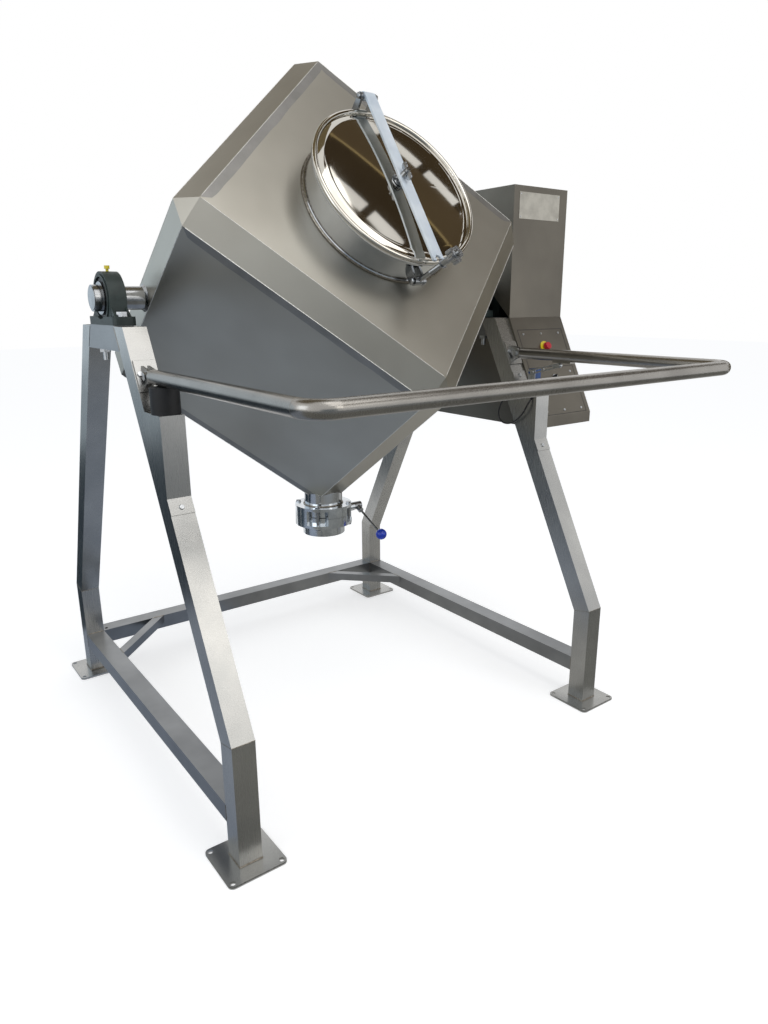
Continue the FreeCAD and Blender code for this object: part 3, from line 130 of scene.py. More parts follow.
def linear(code):
    """An sRGB hex colour as linear RGBA."""
    rgb = [int(code[i:i + 2], 16) / 255 for i in (1, 3, 5)]
    return [c / 12.92 if c <= 0.04045 else ((c + 0.055) / 1.055) ** 2.4 for c in rgb] + [1.0]


def add(tree, kind, inputs=None, **settings):
    """A node with its settings, and its sockets set or linked."""
    made = tree.nodes.new(kind)
    for key, value in settings.items():
        setattr(made, key, value)
    for key, value in (inputs or {}).items():
        if isinstance(value, bpy.types.NodeSocket):
            tree.links.new(value, made.inputs[key])
        else:
            made.inputs[key].default_value = value
    return made


def ramp(tree, factor, stops):
    """A colour ramp with stops of (place, hex colour)."""
    made = add(tree, "ShaderNodeValToRGB", {"Fac": factor})
    band = made.color_ramp
    while len(band.elements) < len(stops):
        band.elements.new(0.5)
    for element, (place, code) in zip(band.elements, stops):
        element.position = place
        element.color = linear(code)
    return made.outputs["Color"]


def blank(name):
    """A new material with an empty node tree."""
    made = bpy.data.materials.new(name)
    made.use_nodes = True
    made.node_tree.nodes.clear()
    return made, made.node_tree


def shader(name, **constants):
    """A new material and its shader, with constants on the shader's own sockets."""
    made, tree = blank(name)
    body = add(tree, "ShaderNodeBsdfPrincipled", {k.replace("_", " "): v for k, v in constants.items()})
    add(tree, "ShaderNodeOutputMaterial", {"Surface": body.outputs["BSDF"]})
    return made, tree, body


def per_metre(millimetres):
    """Pattern scale of a feature that size."""
    return 1000.0 / millimetres


def dress(tree, body, colour, height, rough, bump, depth):
    """Colour, and gloss between two ends and bump from one pattern, on a shader."""
    tree.links.new(colour, body.inputs["Base Color"])
    gloss = add(tree, "ShaderNodeMapRange", {"Value": height, "To Min": rough[0], "To Max": rough[1]})
    tree.links.new(gloss.outputs["Result"], body.inputs["Roughness"])
    if bump:
        relief = add(tree, "ShaderNodeBump", {"Height": height, "Strength": bump, "Distance": depth})
        tree.links.new(relief.outputs["Normal"], body.inputs["Normal"])


def brushed(name, tones, rough, grain_mm, cloud_mm, turn=(0, 0, 0), bump=0.12):
    """Brushed stainless steel: clouded tone, fine drawn lines in gloss and bump.

    Real grinding lines are a tenth of a millimetre wide. The grain is drawn ten or more times coarser,
    since lines that fine would turn to noise at this distance.
    """
    made, tree, body = shader(name, Metallic=1.0)
    place = add(tree, "ShaderNodeTexCoord")
    turned = add(tree, "ShaderNodeMapping", {"Vector": place.outputs["Object"], "Rotation": turn})
    cloud = add(tree, "ShaderNodeTexNoise", {"Vector": turned.outputs["Vector"], "Scale": per_metre(cloud_mm),
                                             "Detail": 3.0, "Roughness": 0.55})
    colour = ramp(tree, cloud.outputs["Fac"], tones)
    lines = add(tree, "ShaderNodeMapping", {"Vector": turned.outputs["Vector"],
                                            "Scale": [per_metre(g) for g in grain_mm]})
    grain = add(tree, "ShaderNodeTexNoise", {"Vector": lines.outputs["Vector"], "Scale": 1.0, "Detail": 2.0})
    dress(tree, body, colour, grain.outputs["Fac"], (rough * 0.82, rough * 1.25), bump, 0.0004)
    return made


def coated(name, tones, rough, cloud_mm, grain_mm, bump, **constants):
    """Paint, rubber or plastic: soft tone change, and a fine skin drawn some three times coarser than real."""
    made, tree, body = shader(name, **constants)
    place = add(tree, "ShaderNodeTexCoord")
    cloud = add(tree, "ShaderNodeTexNoise", {"Vector": place.outputs["Object"], "Scale": per_metre(cloud_mm),
                                             "Detail": 2.0})
    colour = ramp(tree, cloud.outputs["Fac"], tones)
    skin = add(tree, "ShaderNodeTexNoise", {"Vector": place.outputs["Object"], "Scale": per_metre(grain_mm),
                                            "Detail": 1.0})
    dress(tree, body, colour, skin.outputs["Fac"], (rough - 0.05, rough + 0.07), bump, 0.0006)
    return made


# Finishes already made, by their short names
MADE = {}


def finish_named(name):
    """A finish by its short name, made once."""
    if name not in MADE:
        MADE[name] = FINISHES[name]()
    return MADE[name]


FINISHES = {
    # Ground sheet, 240 grit: grey with a warm cast, cloudy
    "vessel_sheet": lambda: brushed("vessel sheet, ground stainless steel",
                                    ((0.32, "#a9a69d"), (0.50, "#b3b0a7"), (0.70, "#bcbab1")),
                                    0.36, (60, 2.5, 2.5), 520, turn=(TILT, 0, 0.5), bump=0.05),
    # Drawn square tube: pale and even, long lines along Z and lean
    "frame_tube": lambda: brushed("frame tube, brushed stainless steel",
                                  ((0.32, "#a2a3a2"), (0.52, "#aeaeac"), (0.72, "#b9b9b6")),
                                  0.27, (1.6, 1.6, 160), 260, bump=0.01),
    # Level tube with the lines along it, in a darker tone than the upright tube
    "beam_tube": lambda: brushed("beam tube, brushed stainless steel",
                                 ((0.32, "#7c7e80"), (0.52, "#888a8c"), (0.72, "#949698")),
                                 0.30, (60, 60, 1.6), 260, bump=0.03),
    # Folded sheet of the drive cover, ground: dark warm grey with upright clouds
    "cover_sheet": lambda: brushed("drive cover, ground stainless steel",
                                   ((0.32, "#6a665f"), (0.52, "#736f67"), (0.72, "#7c776e")),
                                   0.38, (2.5, 50, 60), 420, bump=0.06),
    # Pipe polished all round: smooth, with long soft streaks of light
    "pipe": lambda: brushed("guard pipe, polished stainless steel",
                            ((0.32, "#8e8b86"), (0.52, "#9a9792"), (0.72, "#a6a39e")),
                            0.26, (1.2, 1.2, 1.2), 240, bump=0.012),
    # Collar of the manhole, polished by hand: nearly a mirror with fine turning lines
    "collar": lambda: brushed("manhole collar, polished stainless steel",
                              ((0.32, "#c3c6ca"), (0.52, "#d0d3d6"), (0.72, "#dcdfe2")),
                              0.13, (40, 3, 3), 200, turn=(TILT, 0, 0), bump=0.02),
    # Mirror polished pressing: shows the hall's windows, hardly dulled
    "mirror": lambda: brushed("lid, mirror polished stainless steel",
                              ((0.30, "#bdb9b0"), (0.55, "#cbc7be"), (0.78, "#d6d3cc")),
                              0.045, (90, 90, 90), 400, bump=0.0),
    # Satin flat bar, paler than the rest
    "arm": lambda: brushed("lid arm, satin stainless flat bar",
                           ((0.30, "#cfdbe8"), (0.60, "#e4edf6")), 0.50, (3, 60, 60), 120, bump=0.03),
    # Turned stainless steel: bright, with fine rings round it
    "turned": lambda: brushed("turned stainless steel",
                              ((0.30, "#8c8e90"), (0.60, "#a8aaac")), 0.20, (1.2, 12, 12), 60, bump=0.05),
    # Machined and polished casting of the valve: cool and bright
    "valve": lambda: brushed("valve body, machined stainless steel",
                             ((0.30, "#c0c5ca"), (0.60, "#dbe0e4")), 0.17, (40, 40, 1.0), 60, bump=0.04),
    # Zinc plate on bolts and brackets: pale, faintly blue, uneven
    "zinc": lambda: brushed("zinc plated steel",
                            ((0.30, "#aeb2b6"), (0.55, "#c6c9cc"), (0.75, "#dadddf")),
                            0.28, (2, 2, 2), 12, bump=0.06),
    # Weld metal: rippled, straw and blue tinted beside the bead
    "weld": lambda: brushed("stainless weld bead",
                            ((0.30, "#6d675f"), (0.50, "#8e877c"), (0.72, "#a9a49c")),
                            0.34, (2, 2, 2), 9, bump=0.10),
    # Weld dressed flush: a bright line between the dull bands. Along each bevel's upper border the same bright
    # line is a painted highlight of the bend.
    "seam_and_highlight": lambda: brushed("dressed weld line, stainless steel",
                            ((0.30, "#d6d6d3"), (0.70, "#f0f0ed")), 0.52, (2, 2, 2), 12, bump=0.05),
    # Sheet ground back over a weld: dull, and darker as painted shade under the bevels' lower edges
    "shaded_ground_band": lambda: brushed("sheet ground over a weld, with painted shade",
                                   ((0.30, "#8f8f8c"), (0.55, "#999896"), (0.78, "#a3a2a0")),
                                   0.42, (2.5, 30, 30), 90, bump=0.08),
    # Sand cast housing under grey-green paint
    "cast_paint": lambda: coated("painted cast iron", ((0.3, "#222d2c"), (0.7, "#303d3b")),
                                 0.48, 40, 1.6, 0.35, Specular_IOR_Level=0.5),
    # Moulded rubber: dull black, a little dusty
    "rubber": lambda: coated("moulded black rubber", ((0.3, "#08090b"), (0.7, "#121418")),
                             0.50, 30, 0.9, 0.18, Specular_IOR_Level=0.45),
    # Moulded silicone: milky grey, soft sheen
    "gasket": lambda: coated("silicone gasket", ((0.3, "#b9b6ae"), (0.7, "#cfccc4")), 0.5, 20, 1.0, 0.1),
    # Extruded PVC sheath of the cable: black, half glossy
    "sheath": lambda: coated("black cable sheath", ((0.3, "#131315"), (0.7, "#1e1f22")), 0.42, 15, 1.0, 0.1),
    # Moulded plastic: clear bright yellow under a thin gloss
    "yellow": lambda: coated("yellow moulded plastic", ((0.3, "#d8c21c"), (0.7, "#e8d63a")),
                             0.36, 12, 0.8, 0.05, Coat_Weight=0.2),
    # Moulded plastic: deep signal red, glossier than the yellow
    "red": lambda: coated("red moulded plastic", ((0.3, "#a81624"), (0.7, "#bd2433")),
                          0.30, 12, 0.8, 0.04, Coat_Weight=0.35),
    # Moulded and polished ball: strong blue with a small bright spot
    "blue": lambda: coated("blue phenolic", ((0.3, "#042a9c"), (0.7, "#0a3cc0")),
                           0.24, 20, 1.2, 0.02, Coat_Weight=0.3),
    # Die casting under blue paint, slightly rough
    "switch_blue": lambda: coated("blue grey switch casting", ((0.3, "#123a74"), (0.7, "#1f4f90")),
                                  0.40, 15, 1.0, 0.12, Coat_Weight=0.1),
    # Moulded plastic: black with a fine spark eroded skin
    "black": lambda: coated("black moulded plastic", ((0.3, "#17181a"), (0.7, "#26272a")),
                            0.44, 10, 0.7, 0.10),
    # Paint in a groove: off white
    "white_mark": lambda: coated("white paint mark", ((0.3, "#dcdcd8"), (0.7, "#eeeeea")),
                                 0.45, 10, 0.7, 0.03),
    # Thin plate, satin, on which nothing is written
    "plate": lambda: brushed("satin aluminium plate",
                             ((0.30, "#a3a098"), (0.60, "#b6b3aa")), 0.34, (40, 2, 2), 50, bump=0.05),
}

NODE_FINISH = {
    "frame_tube": ("foot_plates", "leg_front_left", "leg_rear_left", "leg_front_right", "leg_rear_right",
                   "console_left", "console_right", "guard_hinge_brackets"),
    "beam_tube": ("top_beams", "base_beams_side", "base_beam_rear", "corner_braces"),
    "vessel_sheet": ("vessel_shell",),
    "collar": ("manhole_collar", "outlet_tube"),
    "cover_sheet": ("drive_cover",),
    "pipe": ("guard_bar_left", "guard_bar_right", "guard_bar_front", "guard_elbows", "guard_actuator"),
    "valve": ("valve_body_upper", "valve_body_lower"),
    "mirror": ("lid_dome",),
    "arm": ("lid_arm",),
    "turned": ("shaft_left", "shaft_right", "bearing_inner_rings", "bearing_outer_rings", "lid_stud",
               "lid_wing_nut", "lid_hinge_bracket", "swing_bolt_bracket", "swing_bolt", "hand_nut",
               "valve_disc", "valve_lever", "selector_bezel", "valve_bolts"),
    "zinc": ("bearing_bolts", "guard_hinge_bolts", "panel_screws", "switch_lever", "limit_switch_plate",
             "torque_arm"),
    "cast_paint": ("bearing_housing_left", "bearing_housing_right", "gear_unit", "drive_motor"),
    "rubber": ("guard_buffer", "cable_grommets"),
    "gasket": ("lid_gasket",),
    "yellow": ("grease_caps", "estop_plate"),
    "red": ("estop_button",),
    "blue": ("lever_ball",),
    "switch_blue": ("limit_switch",),
    "black": ("selector_knob",),
}

# Width in millimetres of the rounding on each node's sharp edges
NODE_ROUND = {
    "leg_front_left": 7, "leg_rear_left": 7, "leg_front_right": 7, "leg_rear_right": 7,
    "base_beams_side": 7, "base_beam_rear": 7, "top_beams": 5, "corner_braces": 5,
    "bearing_housing_left": 3, "bearing_housing_right": 3, "gear_unit": 3, "vessel_shell": 3,
    "estop_button": 2.5, "guard_buffer": 2, "drive_cover": 1.6, "limit_switch": 1.5, "hand_nut": 1.5,
    "shaft_left": 1.5, "foot_plates": 1.2, "console_left": 1.2, "console_right": 1.2,
    "valve_body_upper": 1.2, "valve_body_lower": 1.2, "grease_caps": 1.2, "guard_hinge_brackets": 1,
    "shaft_right": 1, "lid_wing_nut": 1, "swing_bolt_bracket": 1, "lid_hinge_bracket": 1,
    "lid_arm": 0.8, "bearing_bolts": 0.8, "selector_knob": 0.8, "manhole_collar": 0.8,
    "guard_hinge_bolts": 0.6, "valve_lever": 0.6, "selector_bezel": 0.6, "guard_actuator": 0.6,
    "estop_plate": 0.5, "valve_bolts": 0.5, "switch_lever": 0.4, "panel_screws": 0.4,
    "limit_switch_plate": 0.3,
}


# Mesh making

def new_piece(name, bm, finish, body, smooth=40, bevel=0.0):
    """A bmesh as a piece that rides on a body."""
    bmesh.ops.recalc_face_normals(bm, faces=bm.faces)
    mesh = bpy.data.meshes.new(name)
    bm.to_mesh(mesh)
    bm.free()
    piece = bpy.data.objects.new(name, mesh)
    bpy.context.scene.collection.objects.link(piece)
    mesh.materials.append(finish_named(finish))
    shade(piece, smooth)
    if bevel:
        round_edges(piece, bevel)
    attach(piece, body)


def shade(piece, angle):
    """Smooth shading that keeps edges over the angle sharp."""
    mesh = piece.data
    mesh.shade_smooth()
    mesh.set_sharp_from_angle(angle=math.radians(angle))


def round_edges(piece, width, limit=32):
    """Rounds the sharp edges of a piece without touching its own mesh."""
    made = piece.modifiers.new("rounded edges", "BEVEL")
    made.width = width
    made.segments = 2
    made.limit_method = "ANGLE"
    made.angle_limit = math.radians(limit)
    made.harden_normals = True


def turned_axes(axis):
    """Two directions square to an axis, and the axis itself, each of length one."""
    w = Vector(axis).normalized()
    side = Z if abs(w.z) < 0.9 else X
    u = side.cross(w).normalized()
    return u, w.cross(u), w


def spin(centre, u, v, radius, count):
    """Points of a circle in the plane of two directions."""
    turn = [2 * math.pi * k / count for k in range(count)]
    return [centre + u * (radius * math.cos(a)) + v * (radius * math.sin(a)) for a in turn]


def add_ring(bm, points):
    """Points as a ring of a mesh."""
    return [bm.verts.new(p) for p in points]


def bridge(bm, first, second, closed=True):
    """Faces between two rings of points."""
    count = len(first)
    for i in range(count if closed else count - 1):
        j = (i + 1) % count
        bm.faces.new((first[i], first[j], second[j], second[i]))


def add_lathe(bm, profile, at, axis, steps=40):
    """A turned form: profile is (radius, height) along the axis from a point."""
    u, v, w = turned_axes(axis)
    rings = []
    for r, h in profile:
        centre = Vector(at) + w * h
        if r < 1e-6:
            rings.append([bm.verts.new(centre)])
            continue
        rings.append(add_ring(bm, spin(centre, u, v, r, steps)))
    for a, b in zip(rings, rings[1:]):
        if len(a) == 1 and len(b) == 1:
            continue
        if len(a) == 1 or len(b) == 1:
            tip, ring = (a[0], b) if len(a) == 1 else (b[0], a)
            for i in range(steps):
                bm.faces.new((tip, ring[i], ring[(i + 1) % steps]))
        else:
            bridge(bm, a, b)


def washer(inner, outer, top, foot=0.0):
    """The profile of a flat ring, or of a disc where the inner radius is zero."""
    return [(inner, foot), (outer, foot), (outer, top), (inner, top)]


def add_sweep(bm, points, radius, sides=8, closed=False):
    """A tube along points; radius is a number or a function of the point's index."""
    points = [Vector(p) for p in points]
    count = len(points)
    rings = []
    u = None
    for i, p in enumerate(points):
        before = points[i - 1] if i or closed else p
        after = points[(i + 1) % count] if i < count - 1 or closed else p
        way = (after - before).normalized()
        if u is None:
            u = turned_axes(way)[0]
        u = (u - way * u.dot(way)).normalized()
        v = way.cross(u)
        r = radius(i) if callable(radius) else radius
        rings.append(add_ring(bm, spin(p, u, v, r, sides)))
    for a, b in zip(rings, rings[1:]):
        bridge(bm, a, b)
    if closed:
        last, first = rings[-1], rings[0]
        shift = min(range(sides), key=lambda s: sum((last[k].co - first[(k + s) % sides].co).length
                                                    for k in range(sides)))
        bridge(bm, last, first[shift:] + first[:shift])
    else:
        bm.faces.new(rings[0])
        bm.faces.new(rings[-1])


def along(points, step, closed=False):
    """Points evenly spaced along a path."""
    points = [Vector(p) for p in points]
    if closed:
        points = points + [points[0]]
    found = []
    for a, b in zip(points, points[1:]):
        count = max(1, round((b - a).length / step))
        found += [a.lerp(b, k / count) for k in range(count)]
    return found if closed else found + [points[-1]]


def add_weld(bm, points, radius, pitch=0.005, closed=False):
    """A weld bead: a swept ridge that swells with each ripple, some four times coarser than real ones."""
    path = along(points, pitch / 2, closed)

    def swell(i):
        ripple = 1.0 if i % 2 else 0.82
        return radius * ripple * (1 + 0.12 * noise.noise(path[i] * 60))

    add_sweep(bm, path, swell, 6, closed)


def circle(centre, axis, radius, count):
    """Points of a circle round an axis."""
    u, v, _ = turned_axes(axis)
    return spin(Vector(centre), u, v, radius, count)


def add_block(bm, at, axes, size):
    """A box about a point, its sides along three axes."""
    u, v, w = axes
    corners = []
    for c in (-1, 1):
        for a, b in ((-1, -1), (1, -1), (1, 1), (-1, 1)):
            corners.append(bm.verts.new(Vector(at) + u * (a * size[0] / 2) + v * (b * size[1] / 2)
                                        + w * (c * size[2] / 2)))
    for q in ((0, 1, 2, 3), (7, 6, 5, 4), (0, 4, 5, 1), (1, 5, 6, 2), (2, 6, 7, 3), (3, 7, 4, 0)):
        bm.faces.new([corners[i] for i in q])


def add_thread(bm, at, axis, radius, length, pitch):
    """Rings of a screw thread on a rod, as coarse as they need to be to show."""
    count = int(length / pitch)
    profile = []
    for k in range(count):
        profile += [(radius, k * pitch), (radius * 1.09, (k + 0.5) * pitch)]
    profile.append((radius, count * pitch))
    add_lathe(bm, profile, at, axis, 24)


# Settings

class MixerSettings(bpy.types.PropertyGroup):
    """Sizes and colours that can be changed before the pieces are made."""
    weld_size: FloatProperty(name="Weld size", description="Radius of the weld beads on the frame",
                             default=0.0034, min=0.001, max=0.008, unit="LENGTH")
    shaded_ground_band: FloatProperty(name="Shaded ground band",
                               description="Width of the dull band beside the vessel's edges",
                               default=0.032, min=0.0, max=0.1, unit="LENGTH")
    cable_size: FloatProperty(name="Cable size", description="Diameter of the switch's cable",
                              default=0.007, min=0.004, max=0.012, unit="LENGTH")
    floor_colour: FloatVectorProperty(name="Floor colour", description="Colour of the studio floor",
                                      default=(0.82, 0.82, 0.82, 1.0), size=4, subtype="COLOR",
                                      min=0.0, max=1.0)
    lamp_power: FloatProperty(name="Lamp power", description="Power of the large lamp over the machine",
                              default=70.0, min=0.0, max=2000.0, unit="POWER")


# Camera and cable

# The camera as found from the frame's straight edges in the photograph: azimuth, pitch and roll in degrees
CAMERA_AT = (-1.6538, -2.6894, 1.7411)
CAMERA_TURN = (36.478, 16.017, -0.357)
CAMERA_LENS = 25.80


class MIXER_OT_camera(bpy.types.Operator):
    """Set the camera at the photograph's angle"""
    bl_idname = "mixer.camera"
    bl_label = "Camera"

    def execute(self, context):
        azimuth, pitch, roll = (math.radians(a) for a in CAMERA_TURN)
        level = Vector((math.sin(azimuth), math.cos(azimuth), 0))
        ahead = level * math.cos(pitch) - Z * math.sin(pitch)
        right = Vector((math.cos(azimuth), -math.sin(azimuth), 0))
        up = right.cross(ahead)
        side = right * math.cos(roll) + up * math.sin(roll)
        top = up * math.cos(roll) - right * math.sin(roll)
        data = bpy.data.cameras.new("camera")
        data.sensor_width = 36.0
        data.lens = CAMERA_LENS
        data.clip_start, data.clip_end = 0.05, 200.0
        camera = bpy.data.objects.new("camera", data)
        context.scene.collection.objects.link(camera)
        turn = Matrix((side, top, -ahead)).transposed().to_4x4()
        camera.matrix_world = Matrix.Translation(CAMERA_AT) @ turn
        context.scene.camera = camera
        return {"FINISHED"}


CABLE_FROM = Vector((0.799, -0.472, 1.330))
CABLE_TO = Vector((0.799, -0.340, 1.345))
CABLE_ROUTE = (
    (0.781, -0.466, 1.302), (0.779, -0.440, 1.256), (0.780, -0.400, 1.220), (0.781, -0.350, 1.199),
    (0.782, -0.304, 1.206), (0.783, -0.284, 1.238), (0.781, -0.296, 1.277), (0.779, -0.318, 1.312),
)
GROMMET_R = 0.009


class MIXER_OT_cable(bpy.types.Operator):
    """Make the limit switch's cable, which hangs in a loop beside the leg"""
    bl_idname = "mixer.cable"
    bl_label = "Switch cable"

    def execute(self, context):
        size = context.scene.mixer.cable_size
        ends = []
        for hole, nearest in ((CABLE_FROM, CABLE_ROUTE[0]), (CABLE_TO, CABLE_ROUTE[-1])):
            ends.append(hole + (Vector(nearest) - hole).normalized() * (GROMMET_R + 0.00005))
        points = [ends[0], *(Vector(p) for p in CABLE_ROUTE), ends[1]]
        curve = bpy.data.curves.new("cable_of_switch", "CURVE")
        curve.dimensions = "3D"
        curve.bevel_depth = size / 2
        curve.bevel_resolution = 5
        curve.use_fill_caps = True
        line = curve.splines.new("NURBS")
        line.points.add(len(points) - 1)
        for place, p in zip(line.points, points):
            place.co = (*p, 1.0)
        line.use_endpoint_u = True
        line.order_u = 3
        line.resolution_u = 10
        curve.materials.append(finish_named("sheath"))
        cable = bpy.data.objects.new("cable_of_switch", curve)
        context.scene.collection.objects.link(cable)
        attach(cable, "frame")
        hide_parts("switch_cable")
        return {"FINISHED"}


class MIXER_OT_finishes(bpy.types.Operator):
    """Give every CAD node its real finish and rounded edges"""
    bl_idname = "mixer.finishes"
    bl_label = "Finishes"

    def execute(self, context):
        finish_of = {node: finish for finish, nodes in NODE_FINISH.items() for node in nodes}
        for name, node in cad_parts.items():
            if name == "switch_cable":
                continue
            if name not in finish_of:
                raise RuntimeError("no finish for " + name)
            node.data.materials.clear()
            node.data.materials.append(finish_named(finish_of[name]))
            shade(node, 32)
            if name in NODE_ROUND:
                round_edges(node, NODE_ROUND[name] / 1000)
        return {"FINISHED"}


# Vessel

def block_point(axis, signs):
    """A corner of one of the vessel's flat faces; axis 2 points out of the manhole face."""
    full = (HALF, HALF, HALF_DEPTH)
    p = [s * (f - BEVEL) for s, f in zip(signs, full)]
    p[axis] = signs[axis] * full[axis]
    c = math.cos(math.pi / 4)
    u, v = (p[0] - p[1]) * c, (p[0] + p[1]) * c
    return on_face(u, v, p[2])


# Radius and ripple pitch of the dressed weld on a bevel's lower border and of the bright line painted as the
# bend's highlight on its upper border, then how far they are sunk, and how much of a border they leave free at
# each end
SEAM_LOW = (0.0016, 0.006)
HIGHLIGHT_LINE = (0.0010, 0.02)
BORDER_LINE_SUNK = 0.0004
BORDER_LINE_SHORT = 0.01


class MIXER_OT_vessel_welds(bpy.types.Operator):
    """Lay the welds along the vessel's edges, the bright lines painted as the bends' highlights, and the dull
    ground bands with painted shade beside them
    """
    bl_idname = "mixer.vessel_welds"
    bl_label = "Vessel welds"

    def execute(self, context):
        seam_and_highlight_lines, bands = bmesh.new(), bmesh.new()
        width = context.scene.mixer.shaded_ground_band
        for axis, a, b in itertools.product(range(3), (-1, 1), (-1, 1)):
            sides = self.edge_sides(axis, a, b)
            low = min(sides, key=lambda side: (side[2] + side[3]).z)
            for side in sides:
                p, q = side[2:]
                ends = [p.lerp(q, BORDER_LINE_SHORT), q.lerp(p, BORDER_LINE_SHORT)]
                ends = [at + (HUB - at).normalized() * BORDER_LINE_SUNK for at in ends]
                # On the lower border this is a weld. On the upper border it is a bright line painted as the
                # bend's highlight.
                add_weld(seam_and_highlight_lines, ends, *(SEAM_LOW if side is low else HIGHLIGHT_LINE))
            # The dull band goes only on the lower face beside these edges. Its darker tone is painted shade
            # under the edge.
            if axis < 2:
                self.add_band(bands, *low, width)
        new_piece("vessel_seams_and_highlights", seam_and_highlight_lines, "seam_and_highlight", "vessel")
        new_piece("vessel_shaded_ground_bands", bands, "shaded_ground_band", "vessel", smooth=20)
        return {"FINISHED"}

    def edge_sides(self, axis, a, b):
        """The two flat faces beside a bevelled edge: face, its sign and the ends of its border."""
        others = [i for i in range(3) if i != axis]
        sides = []
        for face, sign in zip(others, (a, b)):
            signs = [0, 0, 0]
            signs[others[0]], signs[others[1]] = a, b
            ends = []
            for end in (-1, 1):
                signs[axis] = end
                ends.append(block_point(face, signs))
            sides.append((face, sign, *ends))
        return sides

    def add_band(self, bm, face, sign, p, q, width):
        """A thin strip on a flat face along its edge, with a hand-ground inner border."""
        centre = [0, 0, 0]
        centre[face] = sign
        c = math.cos(math.pi / 4)
        normal = X * ((centre[0] - centre[1]) * c) + UP_FACE * ((centre[0] + centre[1]) * c)
        normal += OUT_FACE * centre[2]
        way = (q - p).normalized()
        inward = normal.cross(way)
        middle = HUB + normal * (HALF if face < 2 else HALF_DEPTH)
        if inward.dot(middle - p) < 0:
            inward = -inward
        count = 40
        lift = normal * 0.00035
        outer, inner = [], []
        for k in range(count + 1):
            t = k / count
            at = p.lerp(q, 0.004 + 0.992 * t)
            wave = 1 + 0.10 * noise.noise(at * 9) + 0.04 * noise.noise(at * 40)
            corner = min(t, 1 - t) * (q - p).length
            reach = min(width * wave, corner + 0.004)
            outer.append(bm.verts.new(at + lift + inward * 0.0012))
            inner.append(bm.verts.new(at + lift * 0.4 + inward * reach))
        bridge(bm, outer, inner, closed=False)


# Manhole

class MIXER_OT_manhole(bpy.types.Operator):
    """Make the collar's weld, the lid's centre fittings and the threads of the closing bolt"""
    bl_idname = "mixer.manhole"
    bl_label = "Manhole fittings"

    def execute(self, context):
        bm = bmesh.new()
        foot = circle(on_face(0, 0, HALF_DEPTH + 0.003), OUT_FACE, COLLAR_R + 0.0065, 180)
        add_weld(bm, foot, 0.0042, 0.006, True)
        lip = circle(on_face(0, 0, COLLAR_TOP - 0.0055), OUT_FACE, COLLAR_R + 0.001, 180)
        add_weld(bm, lip, 0.0016, closed=True)
        new_piece("collar_welds", bm, "weld", "vessel")

        bm = bmesh.new()
        crown = LID_BASE + 0.027
        add_lathe(bm, [(0.030, 0.0), (0.030, 0.0025), (0.027, 0.004), (0.0085, 0.004)],
                  on_face(0, 0, crown - 0.002), OUT_FACE, 48)
        add_thread(bm, on_face(0, 0, ARM_BASE + ARM_T + 0.020), OUT_FACE, 0.0079, 0.0095, 0.0022)
        add_lathe(bm, washer(0.0084, 0.017, 0.0022), on_face(0, 0, ARM_BASE - 0.0023), OUT_FACE, 36)
        new_piece("lid_centre", bm, "turned", "lid")

        rod = (OUT_FACE * math.cos(SWING_REST) - UP_FACE * math.sin(SWING_REST)).normalized()
        pivot = on_face(0, -SWING_OUT, SWING_D)
        bm = bmesh.new()
        add_thread(bm, pivot + rod * 0.070, rod, 0.0079, 0.060, 0.0024)
        add_thread(bm, pivot + rod * 0.2095, rod, 0.0079, 0.0145, 0.0024)
        new_piece("swing_bolt_thread", bm, "turned", "swing_bolt")
        bm = bmesh.new()
        add_lathe(bm, washer(0.0082, 0.0165, 0.0022), pivot + rod * 0.1365, rod, 36)
        add_lathe(bm, [(0.0100, 0.0), (0.0145, 0.0012), (0.0145, 0.0035), (0.0125, 0.0055)],
                  pivot + rod * 0.2075, rod, 36)
        new_piece("hand_nut_collar", bm, "turned", "hand_nut")

        bm = bmesh.new()
        for v, d, half in ((LID_PIN_UP, LID_PIN_D, LID_PIN_HALF), (-SWING_OUT, SWING_D, SWING_PIN_HALF)):
            for side in (-1, 1):
                add_lathe(bm, [(0.0, 0.0), (0.0105, 0.0), (0.0105, 0.003), (0.008, 0.0045), (0.0, 0.005)],
                          on_face(side * half, v, d), X * side, 28)
        new_piece("manhole_pin_heads", bm, "turned", "vessel")
        return {"FINISHED"}


# Outlet and valve

class MIXER_OT_valve(bpy.types.Operator):
    """Make the outlet's ring weld and lengthwise weld, the valve's seal and its washers"""
    bl_idname = "mixer.valve"
    bl_label = "Outlet and valve fittings"

    def execute(self, context):
        bm = bmesh.new()
        add_weld(bm, circle((0, 0, VALVE_TOP + 0.0015), Z, 0.0855, 90), 0.0030, closed=True)
        add_weld(bm, [Vector((0.058, -0.0612, z)) for z in (VALVE_TOP + 0.004, 0.935)], 0.0012, 0.004)
        new_piece("outlet_welds", bm, "weld", "vessel")
        bm = bmesh.new()
        add_lathe(bm, washer(0.0995, 0.1012, 0.0010, -0.0022), (0, 0, VALVE_MID - 0.0002), Z, 72)
        new_piece("valve_seal", bm, "rubber", "vessel")
        bm = bmesh.new()
        for k in range(4):
            a = math.radians(45 + 90 * k)
            at = Vector((0.113 * math.cos(a), 0.113 * math.sin(a), 0))
            for z, way in ((VALVE_TOP, 1), (VALVE_TOP - VALVE_H, -1)):
                add_lathe(bm, washer(0.0, 0.0128, 0.0014), at + Z * z, Z * way, 28)
        new_piece("valve_washers", bm, "zinc", "vessel")
        return {"FINISHED"}


# Bearings

